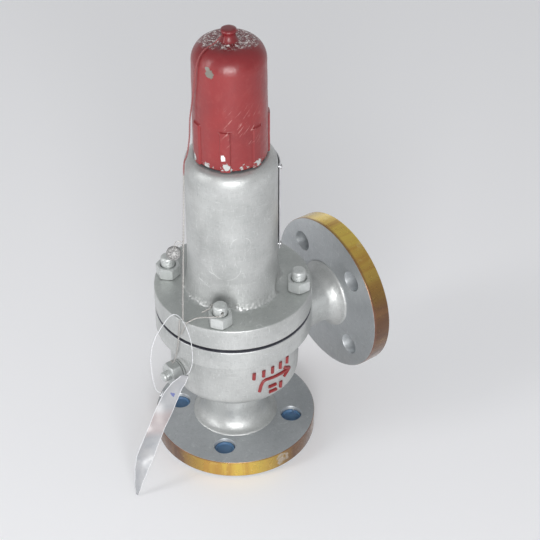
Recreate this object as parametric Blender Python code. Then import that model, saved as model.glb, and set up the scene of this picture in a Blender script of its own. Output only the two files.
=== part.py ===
"""A closed, spring-loaded, low-lift angle relief valve with flanged ends, built as an assembly.

Sizes are in millimetres and the meshes are made in metres. +Z is up. The origin is the centre of the
inlet's raised face, on the axis of the spindle; the outlet points along +X.
"""
import math

import bmesh
import bpy
from mathutils import Matrix, Vector

MM = 0.001
GAP = 0.3                      # kept between neighbouring solids
ROUND = 32                     # sides of the large turned shapes, a multiple of 4
SMALL = 16                     # sides of the small ones

# Flanges: the same drilling on the inlet and the outlet
FLANGE_R = 70.0
FLANGE_T = 18.0                # with the raised face
RAISED_R = 39.0
RAISED_T = 2.0
BOLT_CIRCLE_R = 50.0
BOLT_HOLE_R = 9.0
BORE_R = 16.0
OUTLET_FACE_X = 116.0
OUTLET_Z = 103.0

# Body bowl and the joint between body and bonnet
NECK_R = 27.5
BOWL_R = 55.0
BOWL_BOTTOM = 68.0
CHAMBER_R = 46.0
COVER_R = 66.0                 # body flange and bonnet flange
BODY_TOP = 139.0
BODY_FLANGE_BOTTOM = 120.0
REGISTER_R = 47.4              # recess that takes gaskets and guide
REGISTER_Z = 133.0
STUD_CIRCLE_R = 55.2
STUD_R = 6.0
STUD_TOP = 181.0
DRILLED_STUD_DEG = 225         # the stud that the sealing wire goes through
STUD_HOLE_Z = 176.3
STUD_HOLE_DEG = -106.0
NUT_FLATS = 18.0
NUT_TURNS_DEG = (-20.0, 18.0, 7.0, -2.0)
NUT_H = 10.2

# Bonnet
BONNET_BOTTOM = 142.0
BONNET_FLANGE_TOP = 162.0
BONNET_R = 37.4
BONNET_BASE_R = 40.3
BONNET_INNER_R = 29.5
SHOULDER_Z = 280.0
BONNET_TOP = 290.7
LIP_R = 31.3
COLLAR_R = 24.5
COLLAR_TOP = 307.0
POCKET_R = 18.7                # spot face over each stud

# Cap
CAP_BOTTOM = 292.3
CAP_FOOT_R = 29.4
CAP_TOP_R = 28.9
CAP_SHOULDER_Z = 375.0
CAP_CROWN_R = 15.5
CAP_CROWN_Z = 391.3
CAP_TOP = 402.0
CAP_INNER_R = 25.0
RIB_COUNT = 7
RIB_W = 8.0
RIB_R = 30.8
RIB_TOP = 328.5
RIB_START_DEG = -131.9
WIRE_HOLE_R = 1.2
WIRE_HOLE_Z = 397.6
WIRE_SIDE_DEG = 182.0          # the side of the cap that the sealing wire comes down

# Inner parts
SEAT_Z = 95.0
SEAT_BORE_R = 12.5
NOZZLE_R = 19.0
RING_R = 24.0
RING_NOTCHES = 12
NOTCH_W = 5.0
NOTCH_R = 21.5
PISTON_R = 22.0
STEM_R = 6.0
STEM_TOP = 345.0
PLATE_R = 27.0
SPRING_BOTTOM = 156.3
SPRING_TOP = 261.7
SPRING_R = 22.0
SPRING_WIRE_R = 4.5
SCREW_R = 12.0
SCREW_TOP = 352.0
LOCK_NUT_FLATS = 36.0

# Lock screw of the adjusting ring, along -X
LOCK_Z = 91.0
LOCK_HEX_FLATS = 19.0
LOCK_BOSS_X = -56.0
LOCK_PIN_R = 1.5
LOCK_PIN_X = -22.3

# Nameplate
PLATE_ANGLES = (-36.0, 26.0)
PLATE_Z = (196.0, 281.0)
PLATE_BEND_R = 38.2
PLATE_T = 0.8
RIVET_ANGLES = (-33.5, 23.5)
RIVET_Z = (200.0, 276.5)
RIVET_R = 1.2

SEAL_R = 6.0
SEAL_T = 4.0
SEAL_CENTRE = Vector((-57.2, -1.3, 217.0))
WIRE_R = 0.6
LOOP_R = 0.5
TAG_T = 1.0


def quarter(centre, radii, start, end, count):
    """Points along an elliptical arc of an outline, the angles in degrees."""
    points = []
    for i in range(count + 1):
        angle = math.radians(start + (end - start) * i / count)
        points.append((centre[0] + radii[0] * math.cos(angle), centre[1] + radii[1] * math.sin(angle)))
    return points


def turned(outline, steps=ROUND):
    """A closed outline of (radius, height) spun about Z; an edge on the axis is left out."""
    bm = bmesh.new()
    verts = [bm.verts.new((r * MM, 0.0, z * MM)) for r, z in outline]
    edges = []
    for a, b in zip(verts, verts[1:] + verts[:1]):
        if a.co.x > 0 or b.co.x > 0:
            edges.append(bm.edges.new((a, b)))
    bmesh.ops.spin(bm, geom=verts + edges, cent=(0, 0, 0), axis=(0, 0, 1), angle=2 * math.pi,
                   steps=steps, use_merge=True)
    bmesh.ops.remove_doubles(bm, verts=bm.verts, dist=1e-6)
    return bm


def prism(corners, bottom, top):
    """A flat outline of (x, y) pulled up from bottom to top."""
    bm = bmesh.new()
    face = bm.faces.new([bm.verts.new((x * MM, y * MM, bottom * MM)) for x, y in corners])
    pulled = bmesh.ops.extrude_face_region(bm, geom=[face])["geom"]
    rise = Vector((0, 0, (top - bottom) * MM))
    bmesh.ops.translate(bm, verts=[v for v in pulled if isinstance(v, bmesh.types.BMVert)], vec=rise)
    return bm


def hexagon(flats, turn=0.0):
    corner = flats / 2 / math.cos(math.pi / 6)
    angles = [math.radians(turn + 60 * i) for i in range(6)]
    return [(corner * math.cos(a), corner * math.sin(a)) for a in angles]


def rectangle(x0, x1, y0, y1):
    return [(x0, y0), (x1, y0), (x1, y1), (x0, y1)]


def joined(parts):
    """Several bmeshes as separate shells of one."""
    whole = bmesh.new()
    for part in parts:
        piece = bpy.data.meshes.new("piece")
        part.to_mesh(piece)
        part.free()
        whole.from_mesh(piece)
        bpy.data.meshes.remove(piece)
    return whole


def moved(bm, location=(0, 0, 0), rotation=None):
    """The mesh turned by a matrix, then moved in millimetres."""
    if rotation is not None:
        bmesh.ops.transform(bm, matrix=rotation, verts=bm.verts)
    bmesh.ops.translate(bm, verts=bm.verts, vec=Vector(location) * MM)
    return bm


def polar(radius, degrees, z=0.0):
    angle = math.radians(degrees)
    return Vector((radius * math.cos(angle), radius * math.sin(angle), z))


def about_z(degrees):
    return Matrix.Rotation(math.radians(degrees), 4, "Z")


TO_X = Matrix.Rotation(math.radians(90), 4, "Y")        # height becomes +X
TO_MINUS_X = Matrix.Rotation(math.radians(-90), 4, "Y")  # height becomes -X


def material(name, colour, roughness, metallic):
    mat = bpy.data.materials.new(name)
    mat.use_nodes = True
    shader = mat.node_tree.nodes["Principled BSDF"]
    shader.inputs["Base Color"].default_value = (*colour, 1.0)
    shader.inputs["Roughness"].default_value = roughness
    shader.inputs["Metallic"].default_value = metallic
    mat.diffuse_color = (*colour, 1.0)
    return mat


def place(name, bm, mat, parent=None, pivot=(0, 0, 0)):
    """An object whose origin is at pivot, its mesh staying where it was modelled."""
    bmesh.ops.translate(bm, verts=bm.verts, vec=-Vector(pivot) * MM)
    bmesh.ops.recalc_face_normals(bm, faces=bm.faces)
    mesh = bpy.data.meshes.new(name)
    bm.to_mesh(mesh)
    bm.free()
    mesh.shade_smooth()
    mesh.set_sharp_from_angle(angle=math.radians(35))
    obj = bpy.data.objects.new(name, mesh)
    obj.location = Vector(pivot) * MM
    bpy.context.collection.objects.link(obj)
    if mat:
        mesh.materials.append(mat)
    if parent:
        obj.parent = parent
    return obj


def boolean(obj, bm, operation, name):
    """Adds or cuts a shape, which stays in the file as a hidden guide."""
    guide = place(name, bm, None)
    guide.hide_render = True
    guide.display_type = "WIRE"
    modifier = obj.modifiers.new(name, "BOOLEAN")
    modifier.operation = operation
    modifier.solver = "EXACT"
    modifier.object = guide


def smooth_path(points, step):
    """Points about a step apart on a Catmull-Rom curve through the given points."""
    pts = [Vector(p) for p in points]
    ends = [2 * pts[0] - pts[1]] + pts + [2 * pts[-1] - pts[-2]]
    path = []
    for p0, p1, p2, p3 in zip(ends, ends[1:], ends[2:], ends[3:]):
        count = max(1, round((p2 - p1).length / step))
        for i in range(count):
            t = i / count
            a = 2 * p1
            b = (p2 - p0) * t
            c = (2 * p0 - 5 * p1 + 4 * p2 - p3) * t * t
            d = (3 * p1 - p0 - 3 * p2 + p3) * t ** 3
            path.append((a + b + c + d) / 2)
    path.append(pts[-1])
    return path


def tube(name, paths, radius, mat, parent=None, sides=8):
    """A round wire, one open spline with filled caps along each path."""
    curve = bpy.data.curves.new(name, "CURVE")
    curve.dimensions = "3D"
    curve.bevel_depth = radius * MM
    curve.bevel_resolution = (sides - 4) // 2
    curve.render_resolution_u = 0
    curve.use_fill_caps = True
    for path in paths:
        spline = curve.splines.new("POLY")
        spline.points.add(len(path) - 1)
        for point, co in zip(spline.points, path):
            point.co = (*(co * MM), 1.0)
    curve.materials.append(mat)
    obj = bpy.data.objects.new(name, curve)
    bpy.context.collection.objects.link(obj)
    if parent:
        obj.parent = parent
    return obj


def flange_holes(bottom, top):
    """The four bolt holes of a pipe flange, two each side of the centre line."""
    drills = []
    for k in range(4):
        drill = turned([(0, bottom), (BOLT_HOLE_R, bottom), (BOLT_HOLE_R, top), (0, top)], SMALL)
        drills.append(moved(drill, polar(BOLT_CIRCLE_R, 45 + 90 * k)))
    return joined(drills)


def make_body(mat):
    """The angle body: inlet flange and neck, bowl, cover flange, outlet neck and outlet flange."""
    neck_fillet = quarter((36.7, 33.0), (36.7 - NECK_R, 15.0), -90, -180, 4)
    bowl_edge = quarter((BOWL_R - 8, BOWL_BOTTOM + 8), (8, 8), -90, 0, 4)
    outline = [(0, 0), (RAISED_R, 0), (RAISED_R, RAISED_T), (FLANGE_R, RAISED_T), (FLANGE_R, FLANGE_T)]
    outline += [*neck_fillet, (NECK_R, 62), (29, 65.2), (33, 67.4), *bowl_edge]
    outline += [(BOWL_R, 118), (57, BODY_FLANGE_BOTTOM), (COVER_R, BODY_FLANGE_BOTTOM)]
    outline += [(COVER_R, BODY_TOP - 2), (COVER_R - 2, BODY_TOP), (0, BODY_TOP)]
    body = place("body", turned(outline), mat)

    back = OUTLET_FACE_X - FLANGE_T
    face = OUTLET_FACE_X - RAISED_T
    outlet = [(0, 30), (27, 30), (27, 50), (23.8, 58), (22, 68), (21.5, 80), (22.5, 88), (25.5, 94.5)]
    outlet += [(30.5, back), (FLANGE_R, back), (FLANGE_R, face), (RAISED_R, face)]
    outlet += [(RAISED_R, OUTLET_FACE_X), (0, OUTLET_FACE_X)]
    boss = [(0, 50), (12.5, 50), (12.5, 54.8), (11.3, -LOCK_BOSS_X), (0, -LOCK_BOSS_X)]
    added = [moved(turned(outlet), (0, 0, OUTLET_Z), TO_X),
             moved(turned(boss, SMALL), (0, 0, LOCK_Z), TO_MINUS_X)]
    boolean(body, joined(added), "UNION", "outlet_and_boss_shape")

    corner = quarter((CHAMBER_R - 6, 82), (6, 6), -90, 0, 3)
    inside = [(0, -1), (BORE_R, -1), (BORE_R, 50), (NOZZLE_R + GAP, 50), (NOZZLE_R + GAP, 76), *corner]
    inside += [(CHAMBER_R, 124), (41, 127), (41, REGISTER_Z), (REGISTER_R, REGISTER_Z)]
    inside += [(REGISTER_R, BODY_TOP + 1), (0, BODY_TOP + 1)]
    stud_hole = [(0, 122.5), (STUD_R + GAP, 122.5), (STUD_R + GAP, BODY_TOP + 1), (0, BODY_TOP + 1)]
    cuts = [moved(turned(stud_hole, 12), polar(STUD_CIRCLE_R, 45 + 90 * k)) for k in range(4)]
    cuts += [turned(inside), flange_holes(RAISED_T - 1, FLANGE_T + 1)]
    cuts.append(moved(flange_holes(back - 1, face + 1), (0, 0, OUTLET_Z), TO_X))
    boolean(body, joined(cuts), "DIFFERENCE", "chamber_and_holes_shape")
    bore = [(0, 36), (BORE_R, 36), (BORE_R, OUTLET_FACE_X + 1), (0, OUTLET_FACE_X + 1)]
    screw_hole = [(0, 40), (5 + GAP, 40), (5 + GAP, 58), (0, 58)]
    cuts = [moved(turned(bore, 20), (0, 0, OUTLET_Z), TO_X),
            moved(turned(screw_hole, 12), (0, 0, LOCK_Z), TO_MINUS_X)]
    boolean(body, joined(cuts), "DIFFERENCE", "outlet_bore_and_lock_hole_shape")


def rivet_places():
    return [(angle, z) for angle in RIVET_ANGLES for z in RIVET_Z]


def radial(outline, angle, z, steps=12):
    """A small turned shape whose height runs outwards at an angle about Z."""
    return moved(moved(turned(outline, steps), (0, 0, z), TO_X), rotation=about_z(angle))


def make_bonnet(mat):
    """The closed bonnet over the spring, with its flange, four spot faces and threaded collar."""
    shoulder = quarter((LIP_R, SHOULDER_Z), (BONNET_R - LIP_R, BONNET_TOP - SHOULDER_Z), 0, 90, 4)
    outline = [(0, BONNET_BOTTOM), (COVER_R - 1, BONNET_BOTTOM), (COVER_R, BONNET_BOTTOM + 1)]
    outline += [(COVER_R, BONNET_FLANGE_TOP - 1.5), (COVER_R - 1.5, BONNET_FLANGE_TOP)]
    outline += [(42, BONNET_FLANGE_TOP), (BONNET_BASE_R, 163), (39.6, 166), (38.2, 176), (BONNET_R, 186)]
    outline += [*shoulder, (COLLAR_R, BONNET_TOP), (COLLAR_R, COLLAR_TOP), (0, COLLAR_TOP)]
    bonnet = place("bonnet", turned(outline), mat)

    roof = quarter((20, 272), (BONNET_INNER_R - 20, 9), 0, 90, 3)
    through = SCREW_R + GAP
    inside = [(0, BONNET_BOTTOM - 1), (BONNET_INNER_R, BONNET_BOTTOM - 1), *roof, (through, 281)]
    inside += [(through, COLLAR_TOP + 1), (0, COLLAR_TOP + 1)]
    hole = [(0, BONNET_BOTTOM - 1), (STUD_R + GAP, BONNET_BOTTOM - 1)]
    hole += [(STUD_R + GAP, BONNET_FLANGE_TOP + 1), (0, BONNET_FLANGE_TOP + 1)]
    cuts = [moved(turned(hole, 12), polar(STUD_CIRCLE_R, 45 + 90 * k)) for k in range(4)]
    rivet_hole = [(0, 34.5), (RIVET_R + GAP, 34.5), (RIVET_R + GAP, 39.5), (0, 39.5)]
    cuts += [radial(rivet_hole, angle, z, 8) for angle, z in rivet_places()]
    cuts.append(turned(inside))
    boolean(bonnet, joined(cuts), "DIFFERENCE", "hollow_and_holes_shape")
    spot = [(0, BONNET_FLANGE_TOP + GAP), (POCKET_R, BONNET_FLANGE_TOP + GAP), (POCKET_R, 173), (17.6, 176)]
    spot += [(14, 178), (0, 178)]
    pockets = [moved(turned(spot, 22), polar(STUD_CIRCLE_R, 45 + 90 * k)) for k in range(4)]
    boolean(bonnet, joined(pockets), "DIFFERENCE", "pocket_shape")


def make_cap(mat, parent):
    """The screwed cap: ribbed foot, round shoulder and a drilled knob for the sealing wire."""
    rise = CAP_CROWN_Z - CAP_SHOULDER_Z
    shoulder = quarter((CAP_CROWN_R, CAP_SHOULDER_Z), (CAP_TOP_R - CAP_CROWN_R, rise), 0, 90, 6)
    outline = [(0, CAP_BOTTOM), (CAP_FOOT_R, CAP_BOTTOM), (CAP_FOOT_R, 300), *shoulder]
    outline += [(7.8, CAP_CROWN_Z), (6.2, 393.6), (5.3, 396), (5.3, 397.8), (6.2, 399.2), (6.2, 400.4)]
    outline += [(4.8, CAP_TOP), (0, CAP_TOP)]
    cap = place("cap", turned(outline), mat, parent)
    ribs = []
    for k in range(RIB_COUNT):
        rib = prism(rectangle(26, RIB_R, -RIB_W / 2, RIB_W / 2), CAP_BOTTOM + 0.5, RIB_TOP)
        ribs.append(moved(rib, rotation=about_z(RIB_START_DEG + 360 / RIB_COUNT * k)))
    boolean(cap, joined(ribs), "UNION", "rib_shape")
    dome = quarter((12, 368), (CAP_INNER_R - 12, 18), 0, 90, 4)
    inside = [(0, CAP_BOTTOM - 1), (CAP_INNER_R, CAP_BOTTOM - 1), *dome, (0, 386)]
    boolean(cap, turned(inside), "DIFFERENCE", "cap_hollow_shape")
    drill = turned([(0, -8), (WIRE_HOLE_R, -8), (WIRE_HOLE_R, 8), (0, 8)], 8)
    drill = moved(moved(drill, (0, 0, WIRE_HOLE_Z), TO_X), rotation=about_z(WIRE_SIDE_DEG))
    boolean(cap, drill, "DIFFERENCE", "wire_hole_shape")


def make_seat(mats, ring_pivot):
    """The nozzle that carries the seat, and the notched adjusting ring on it."""
    nozzle = [(15.5, 50 + GAP), (NOZZLE_R, 50 + GAP), (NOZZLE_R, 91), (18, 92), (18, SEAT_Z - 0.5)]
    nozzle += [(16.5, SEAT_Z), (SEAT_BORE_R, SEAT_Z), (SEAT_BORE_R, 58)]
    place("nozzle", turned(nozzle, 24), mats["steel"])
    ring = [(NOZZLE_R + GAP, 84), (RING_R, 84), (RING_R, 97), (NOZZLE_R + GAP, 97)]
    ring = place("adjusting_ring", turned(ring, 24), mats["steel"], ring_pivot)
    notches = []
    for k in range(RING_NOTCHES):
        notch = prism(rectangle(NOTCH_R, RING_R + 2, -NOTCH_W / 2, NOTCH_W / 2), 83, 98)
        notches.append(moved(notch, rotation=about_z(360 / RING_NOTCHES * k)))
    boolean(ring, joined(notches), "DIFFERENCE", "notch_shape")


def make_lifting_parts(mats, lift):
    """What rises when the valve blows: disc, holder, spindle and lower spring plate."""
    disc = [(0, SEAT_Z + GAP), (17.5, SEAT_Z + GAP), (17.5, 101.5), (0, 101.5)]
    place("valve_disc", turned(disc, 24), mats["steel"], lift)
    holder = [(0, 101.5 + GAP), (17.8, 101.5 + GAP), (17.8, 98.3), (PISTON_R, 98.3), (PISTON_R, 125)]
    holder += [(16, 128), (STEM_R + GAP, 128), (STEM_R + GAP, 108), (0, 108)]
    place("disc_holder", turned(holder, 24), mats["steel"], lift)
    stem = [(0, 109), (STEM_R - 2, 108.4), (STEM_R, 110.5), (STEM_R, 143), (10, 144.5), (10, 149.7)]
    stem += [(STEM_R, 149.7), (STEM_R, STEM_TOP - 2), (STEM_R - 2, STEM_TOP), (0, STEM_TOP)]
    place("stem", turned(stem, 16), mats["steel"], lift)
    plate = [(STEM_R + GAP, 150), (14, 150), (PLATE_R, 153), (PLATE_R, 156), (17, 156), (16.5, 160)]
    plate += [(STEM_R + GAP, 160)]
    place("lower_spring_plate", turned(plate, 24), mats["steel"], lift)


def make_spring(mat):
    """The coil spring: one close turn at each end, open turns between."""
    low = SPRING_BOTTOM + SPRING_WIRE_R
    high = SPRING_TOP - SPRING_WIRE_R
    end_pitch = 2 * SPRING_WIRE_R + 2 * GAP
    open_turns = 4.75
    open_pitch = (high - low - 2 * end_pitch) / open_turns
    steps = 11
    path = []
    for i in range(round((open_turns + 2) * steps) + 1):
        turn = i / steps
        height = min(turn, 1) * end_pitch + min(max(turn - 1, 0), open_turns) * open_pitch
        height += max(turn - 1 - open_turns, 0) * end_pitch
        path.append(polar(SPRING_R, 360 * turn, low + height))
    tube("spring", [path], SPRING_WIRE_R, mat, sides=6)


def make_adjuster(mats, plate_slide, screw_turn, nut_turn):
    """What sets the spring load: upper spring plate, hollow adjusting screw and its lock nut."""
    clear = STEM_R + 0.5
    plate = [(clear, 258), (16.5, 258), (17, 262), (PLATE_R, 262), (PLATE_R, 265), (14, 269), (clear, 269)]
    place("upper_spring_plate", turned(plate, 24), mats["steel"], plate_slide)
    screw = [(clear, 269 + GAP), (SCREW_R - 2, 269 + GAP), (SCREW_R, 271.5), (SCREW_R, SCREW_TOP - 12)]
    screw += [(SCREW_R - 1.5, SCREW_TOP - 12), (SCREW_R - 1.5, SCREW_TOP), (clear, SCREW_TOP)]
    screw = place("adjusting_screw", turned(screw, 16), mats["steel"], screw_turn)
    flats = []
    for k in range(4):
        cut = prism(rectangle(8.8, 14, -14, 14), SCREW_TOP - 11.5, SCREW_TOP + 1)
        flats.append(moved(cut, rotation=about_z(90 * k)))
    for k, cut in enumerate(flats):
        boolean(screw, cut, "DIFFERENCE", f"square_flat_shape_{k + 1}")
    nut = place("adjusting_lock_nut", prism(hexagon(LOCK_NUT_FLATS), COLLAR_TOP + 0.5, 319.5), mats["steel"],
                nut_turn)
    hole = [(0, COLLAR_TOP), (SCREW_R + GAP, COLLAR_TOP), (SCREW_R + GAP, 321), (0, 321)]
    boolean(nut, turned(hole, 16), "DIFFERENCE", "lock_nut_hole_shape")


def make_guide_and_gaskets(mats):
    edge = REGISTER_R - GAP
    guide = [(PISTON_R + GAP, 106), (26, 106), (26, 130), (30, 135.3), (edge, 135.3), (edge, 140)]
    guide += [(PISTON_R + GAP, 140)]
    place("guide_sleeve", turned(guide, 24), mats["steel"])
    for name, bottom, top, inner in (("body_gasket", REGISTER_Z + GAP, 135.0, 41.5),
                                     ("bonnet_gasket", 140 + GAP, BONNET_BOTTOM - GAP, 31.0)):
        place(name, turned([(inner, bottom), (edge, bottom), (edge, top), (inner, top)], 24), mats["gasket"])
    cap_joint = [(COLLAR_R + GAP, 291), (28.8, 291), (28.8, 292), (COLLAR_R + GAP, 292)]
    place("cap_gasket", turned(cap_joint, 24), mats["gasket"])


def make_fasteners(mats):
    """Four studs and nuts on the cover joint; the stud at the front left is drilled for the wire."""
    for k in range(4):
        angle = 45 + 90 * k
        centre = polar(STUD_CIRCLE_R, angle)
        shank = [(0, 123), (STUD_R, 123), (STUD_R, STUD_TOP - 1.6), (STUD_R - 1.6, STUD_TOP), (0, STUD_TOP)]
        stud = place(f"bonnet_stud_{k + 1}", moved(turned(shank, 16), centre), mats["silver"], pivot=centre)
        if angle == DRILLED_STUD_DEG:
            drill = turned([(0, -8), (WIRE_HOLE_R, -8), (WIRE_HOLE_R, 8), (0, 8)], 8)
            drill = moved(drill, centre + Vector((0, 0, STUD_HOLE_Z)), about_z(STUD_HOLE_DEG) @ TO_X)
            boolean(stud, drill, "DIFFERENCE", "stud_wire_hole_shape")
        bottom = BONNET_FLANGE_TOP + GAP
        nut_mesh = moved(prism(hexagon(NUT_FLATS, NUT_TURNS_DEG[k]), bottom, bottom + NUT_H), centre)
        nut = place(f"bonnet_nut_{k + 1}", nut_mesh, mats["silver"], pivot=centre)
        hole = [(0, bottom - 1), (STUD_R + GAP, bottom - 1), (STUD_R + GAP, bottom + NUT_H + 1)]
        hole += [(0, bottom + NUT_H + 1)]
        boolean(nut, moved(turned(hole, 16), centre), "DIFFERENCE", f"nut_hole_shape_{k + 1}")


def make_lock_screw(mats, slide):
    """The screw that keeps the adjusting ring from turning: pin, shank, hexagon and stub."""
    head = -LOCK_BOSS_X + 1.8
    pin = -LOCK_PIN_X
    screw = [(0, pin), (LOCK_PIN_R, pin), (LOCK_PIN_R, 40), (3, 42), (5, 44), (5, head + 2), (0, head + 2)]
    shank = place("lock_screw", moved(turned(screw, 16), (0, 0, LOCK_Z), TO_MINUS_X), mats["silver"], slide)
    hex_part = moved(prism(hexagon(LOCK_HEX_FLATS, 30), head, 67), (0, 0, LOCK_Z), TO_MINUS_X)
    boolean(shank, hex_part, "UNION", "lock_hex_shape")
    stub = turned([(0, 65), (4.5, 65), (4.5, 72), (3.5, 73), (0, 73)], 16)
    boolean(shank, moved(stub, (0, 0, LOCK_Z), TO_MINUS_X), "UNION", "lock_stub_shape")
    gasket = [(5 + GAP, -LOCK_BOSS_X + GAP), (10.5, -LOCK_BOSS_X + GAP), (10.5, -LOCK_BOSS_X + 1.5)]
    gasket += [(5 + GAP, -LOCK_BOSS_X + 1.5)]
    place("lock_screw_gasket", moved(turned(gasket, SMALL), (0, 0, LOCK_Z), TO_MINUS_X), mats["gasket"])


def curved_plate(inner, outer, angles, heights, steps):
    """A sheet bent about Z: a cross-section swept through an angle, with both ends closed."""
    bm = bmesh.new()
    corners = [(inner, heights[0]), (outer, heights[0]), (outer, heights[1]), (inner, heights[1])]
    rings = []
    for i in range(steps + 1):
        angle = angles[0] + (angles[1] - angles[0]) * i / steps
        rings.append([bm.verts.new(polar(r, angle, z) * MM) for r, z in corners])
    for a, b in zip(rings, rings[1:]):
        for j in range(4):
            bm.faces.new((a[j], a[(j + 1) % 4], b[(j + 1) % 4], b[j]))
    bm.faces.new(rings[0])
    bm.faces.new(rings[-1])
    return bm


def make_nameplate(mats):
    """The bent plate on the outlet side of the bonnet, held by four rivets."""
    outer = PLATE_BEND_R + PLATE_T
    sheet = curved_plate(PLATE_BEND_R, outer, PLATE_ANGLES, PLATE_Z, 14)
    plate = place("nameplate", sheet, mats["plate"])
    hole = [(0, 37), (RIVET_R + GAP, 37), (RIVET_R + GAP, 41), (0, 41)]
    drills = [radial(hole, angle, z, 8) for angle, z in rivet_places()]
    boolean(plate, joined(drills), "DIFFERENCE", "plate_holes_shape")
    shape = [(0, 35), (RIVET_R, 35), (RIVET_R, outer + GAP), (2.4, outer + GAP), (1.8, outer + 1.3)]
    shape += [(0, outer + 1.6)]
    for k, (angle, z) in enumerate(rivet_places()):
        place(f"nameplate_rivet_{k + 1}", radial(shape, angle, z, 8), mats["plate"])


def make_plugs(mat):
    """Push-in caps that keep dirt out of the inlet's bolt holes."""
    bottom = 0.3
    for k in range(4):
        centre = polar(BOLT_CIRCLE_R, 45 + 90 * k)
        outline = [(0, bottom), (10.4, bottom), (10.4, RAISED_T - GAP), (8.7, RAISED_T - GAP), (8.7, 14.4)]
        outline += [(8.1, 15), (0, 15)]
        place(f"inlet_plug_{k + 1}", moved(turned(outline, 12), centre), mat, pivot=centre)


# The sealing wires, each a list of points that it passes through
CAP_WIRE = [(8.5, 0.6, 396.2), (5.2, 0.2, 397.6), (-5.2, -0.2, 397.6), (-9.0, -0.4, 395.6),
            (-12.0, -0.4, 394.0), (-15.5, -0.4, 392.9), (-19.5, -0.6, 392.2), (-23.1, -0.5, 390.4),
            (-26.2, -0.6, 387.5), (-28.5, -0.8, 383.9), (-30.0, -0.8, 379.5), (-30.6, -0.3, 374),
            (-30.8, 1.6, 364), (-30.8, 3.8, 352), (-31.0, 6.4, 340), (-31.4, 8.4, 328), (-30.6, 11.2, 311),
            (-32.4, 11.8, 297), (-34.4, 11.4, 292.4), (-37.2, 10.3, 287)]
CAP_WIRE_END = (-63.1, -20.5, 163.3)
STUD_WIRE = [(-64.4, -19.4, 147.5), (-64.0, -20.9, 153), (-63.2, -23.1, 159.8), (-62.4, -25.2, 163.6),
             (-59.8, -27.7, 166.5), (-55.0, -31.7, 170), (-49.2, -40.6, 173.6), (-44.4, -45.6, 175.4),
             (-41.6, -46.6, 176.2), (-40.6, -44.6, 176.3), (-39.0, -39.0, 176.3), (-37.5, -33.5, 176.3),
             (-38.2, -31.4, 176.3), (-41.5, -31.0, 175.8), (-44.6, -32.4, 174.8), (-51.0, -30.6, 172.4)]
LOCK_WIRE = [(-64.5, -18.4, 163.2), (-64.9, -17.7, 160.4), (-65.2, -16.8, 150), (-65.5, -15.6, 138),
             (-65.9, -12.6, 124), (-64.4, -5.6, 109), (-62.2, 0.4, 102.3), (-61.0, 4.4, 101.6)]
LOOP_ROUTE = [(-81.5, -11.0, 86.0), (-85.9, -9.8, 93.0), (-88.0, -8.8, 112), (-87.4, -8.2, 130),
              (-83.0, -8.2, 144.5), (-74.4, -8.6, 156.5), (-68.4, -10.2, 163.4), (-65.4, -15.0, 166.4),
              (-65.4, -24.5, 166.4), (-66.2, -32.4, 161.6), (-63.4, -32.4, 148), (-61.8, -31.0, 132),
              (-61.6, -29.0, 120), (-62.2, -25.6, 110.5), (-63.1, -22.9, 106.4)]


def make_seal(mats, cap_lift, tag_swing):
    """Lead seal and wires: knob to flange, flange to stud, flange to lock screw, and the tag's loop."""
    start, end = Vector(CAP_WIRE[-1]), Vector(CAP_WIRE_END)
    path = smooth_path(CAP_WIRE, 6)
    path += [start.lerp(end, i / 6) for i in range(1, 7)]
    tube("seal_wire_cap", [path], WIRE_R, mats["wire"], cap_lift)
    tube("seal_wire_stud", [smooth_path(STUD_WIRE, 3.5)], WIRE_R, mats["wire"])
    tube("seal_wire_lock_screw", [smooth_path(LOCK_WIRE, 6)], WIRE_R, mats["wire"])
    tube("tag_loop", [smooth_path(LOOP_ROUTE, 8)], LOOP_R, mats["nylon"], tag_swing)
    bead = [(0, -SEAL_T / 2), (SEAL_R - 1, -SEAL_T / 2), (SEAL_R, -SEAL_T / 2 + 1), (SEAL_R, SEAL_T / 2 - 1)]
    bead += [(SEAL_R - 1, SEAL_T / 2), (0, SEAL_T / 2)]
    facing = Vector((-0.5, -0.7, 0.5)).to_track_quat("Z", "Y").to_matrix().to_4x4()
    place("lead_seal", moved(turned(bead, 16), SEAL_CENTRE, facing), mats["lead"], cap_lift)
    tail = smooth_path([(-51.3, -4.6, 227), (-54.0, -2.6, 227.4), (-56.3, -1.2, 224.6)], 2)
    tube("lead_seal_tail", [tail], WIRE_R * 0.8, mats["wire"], cap_lift)


def make_tag(mat, parent):
    """The sleeved paper tag: a strip that hangs by the loop, twists and leans on the floor."""
    stations = [((-63.6, -21.4, 104.5), 6.0, 27), ((-66.8, -18.6, 97.5), 11.0, 27),
                ((-70.5, -16.0, 90.5), 13.5, 27), ((-75.4, -15.4, 82.5), 14.0, 30), ((-83.5, -16.6, 70.5), 12.5, 42), ((-93.0, -18.6, 57.0), 14.0, 24),
                ((-102.5, -20.6, 42.0), 14.5, 25), ((-110.8, -22.6, 27.5), 11.0, 52),
                ((-116.6, -24.8, 13.0), 7.0, 60), ((-119.8, -26.4, 1.2), 2.0, 60)]
    bm = bmesh.new()
    rings = []
    for centre, width, turn in stations:
        angle = math.radians(-turn)
        across = Vector((math.cos(angle), math.sin(angle), -0.35)).normalized() * width / 2
        through = across.cross(Vector((-0.45, -0.1, -0.9))).normalized() * TAG_T / 2
        c = Vector(centre)
        ring = [c - across - through, c + across - through, c + across + through, c - across + through]
        rings.append([bm.verts.new(p * MM) for p in ring])
    for a, b in zip(rings, rings[1:]):
        for j in range(4):
            bm.faces.new((a[j], a[(j + 1) % 4], b[(j + 1) % 4], b[j]))
    bm.faces.new(rings[0])
    bm.faces.new(rings[-1])
    place("tag", bm, mat, parent)


def pivot_empty(name):
    """A parent for the meshes that move together."""
    empty = bpy.data.objects.new(name, None)
    bpy.context.collection.objects.link(empty)
    return empty


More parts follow.
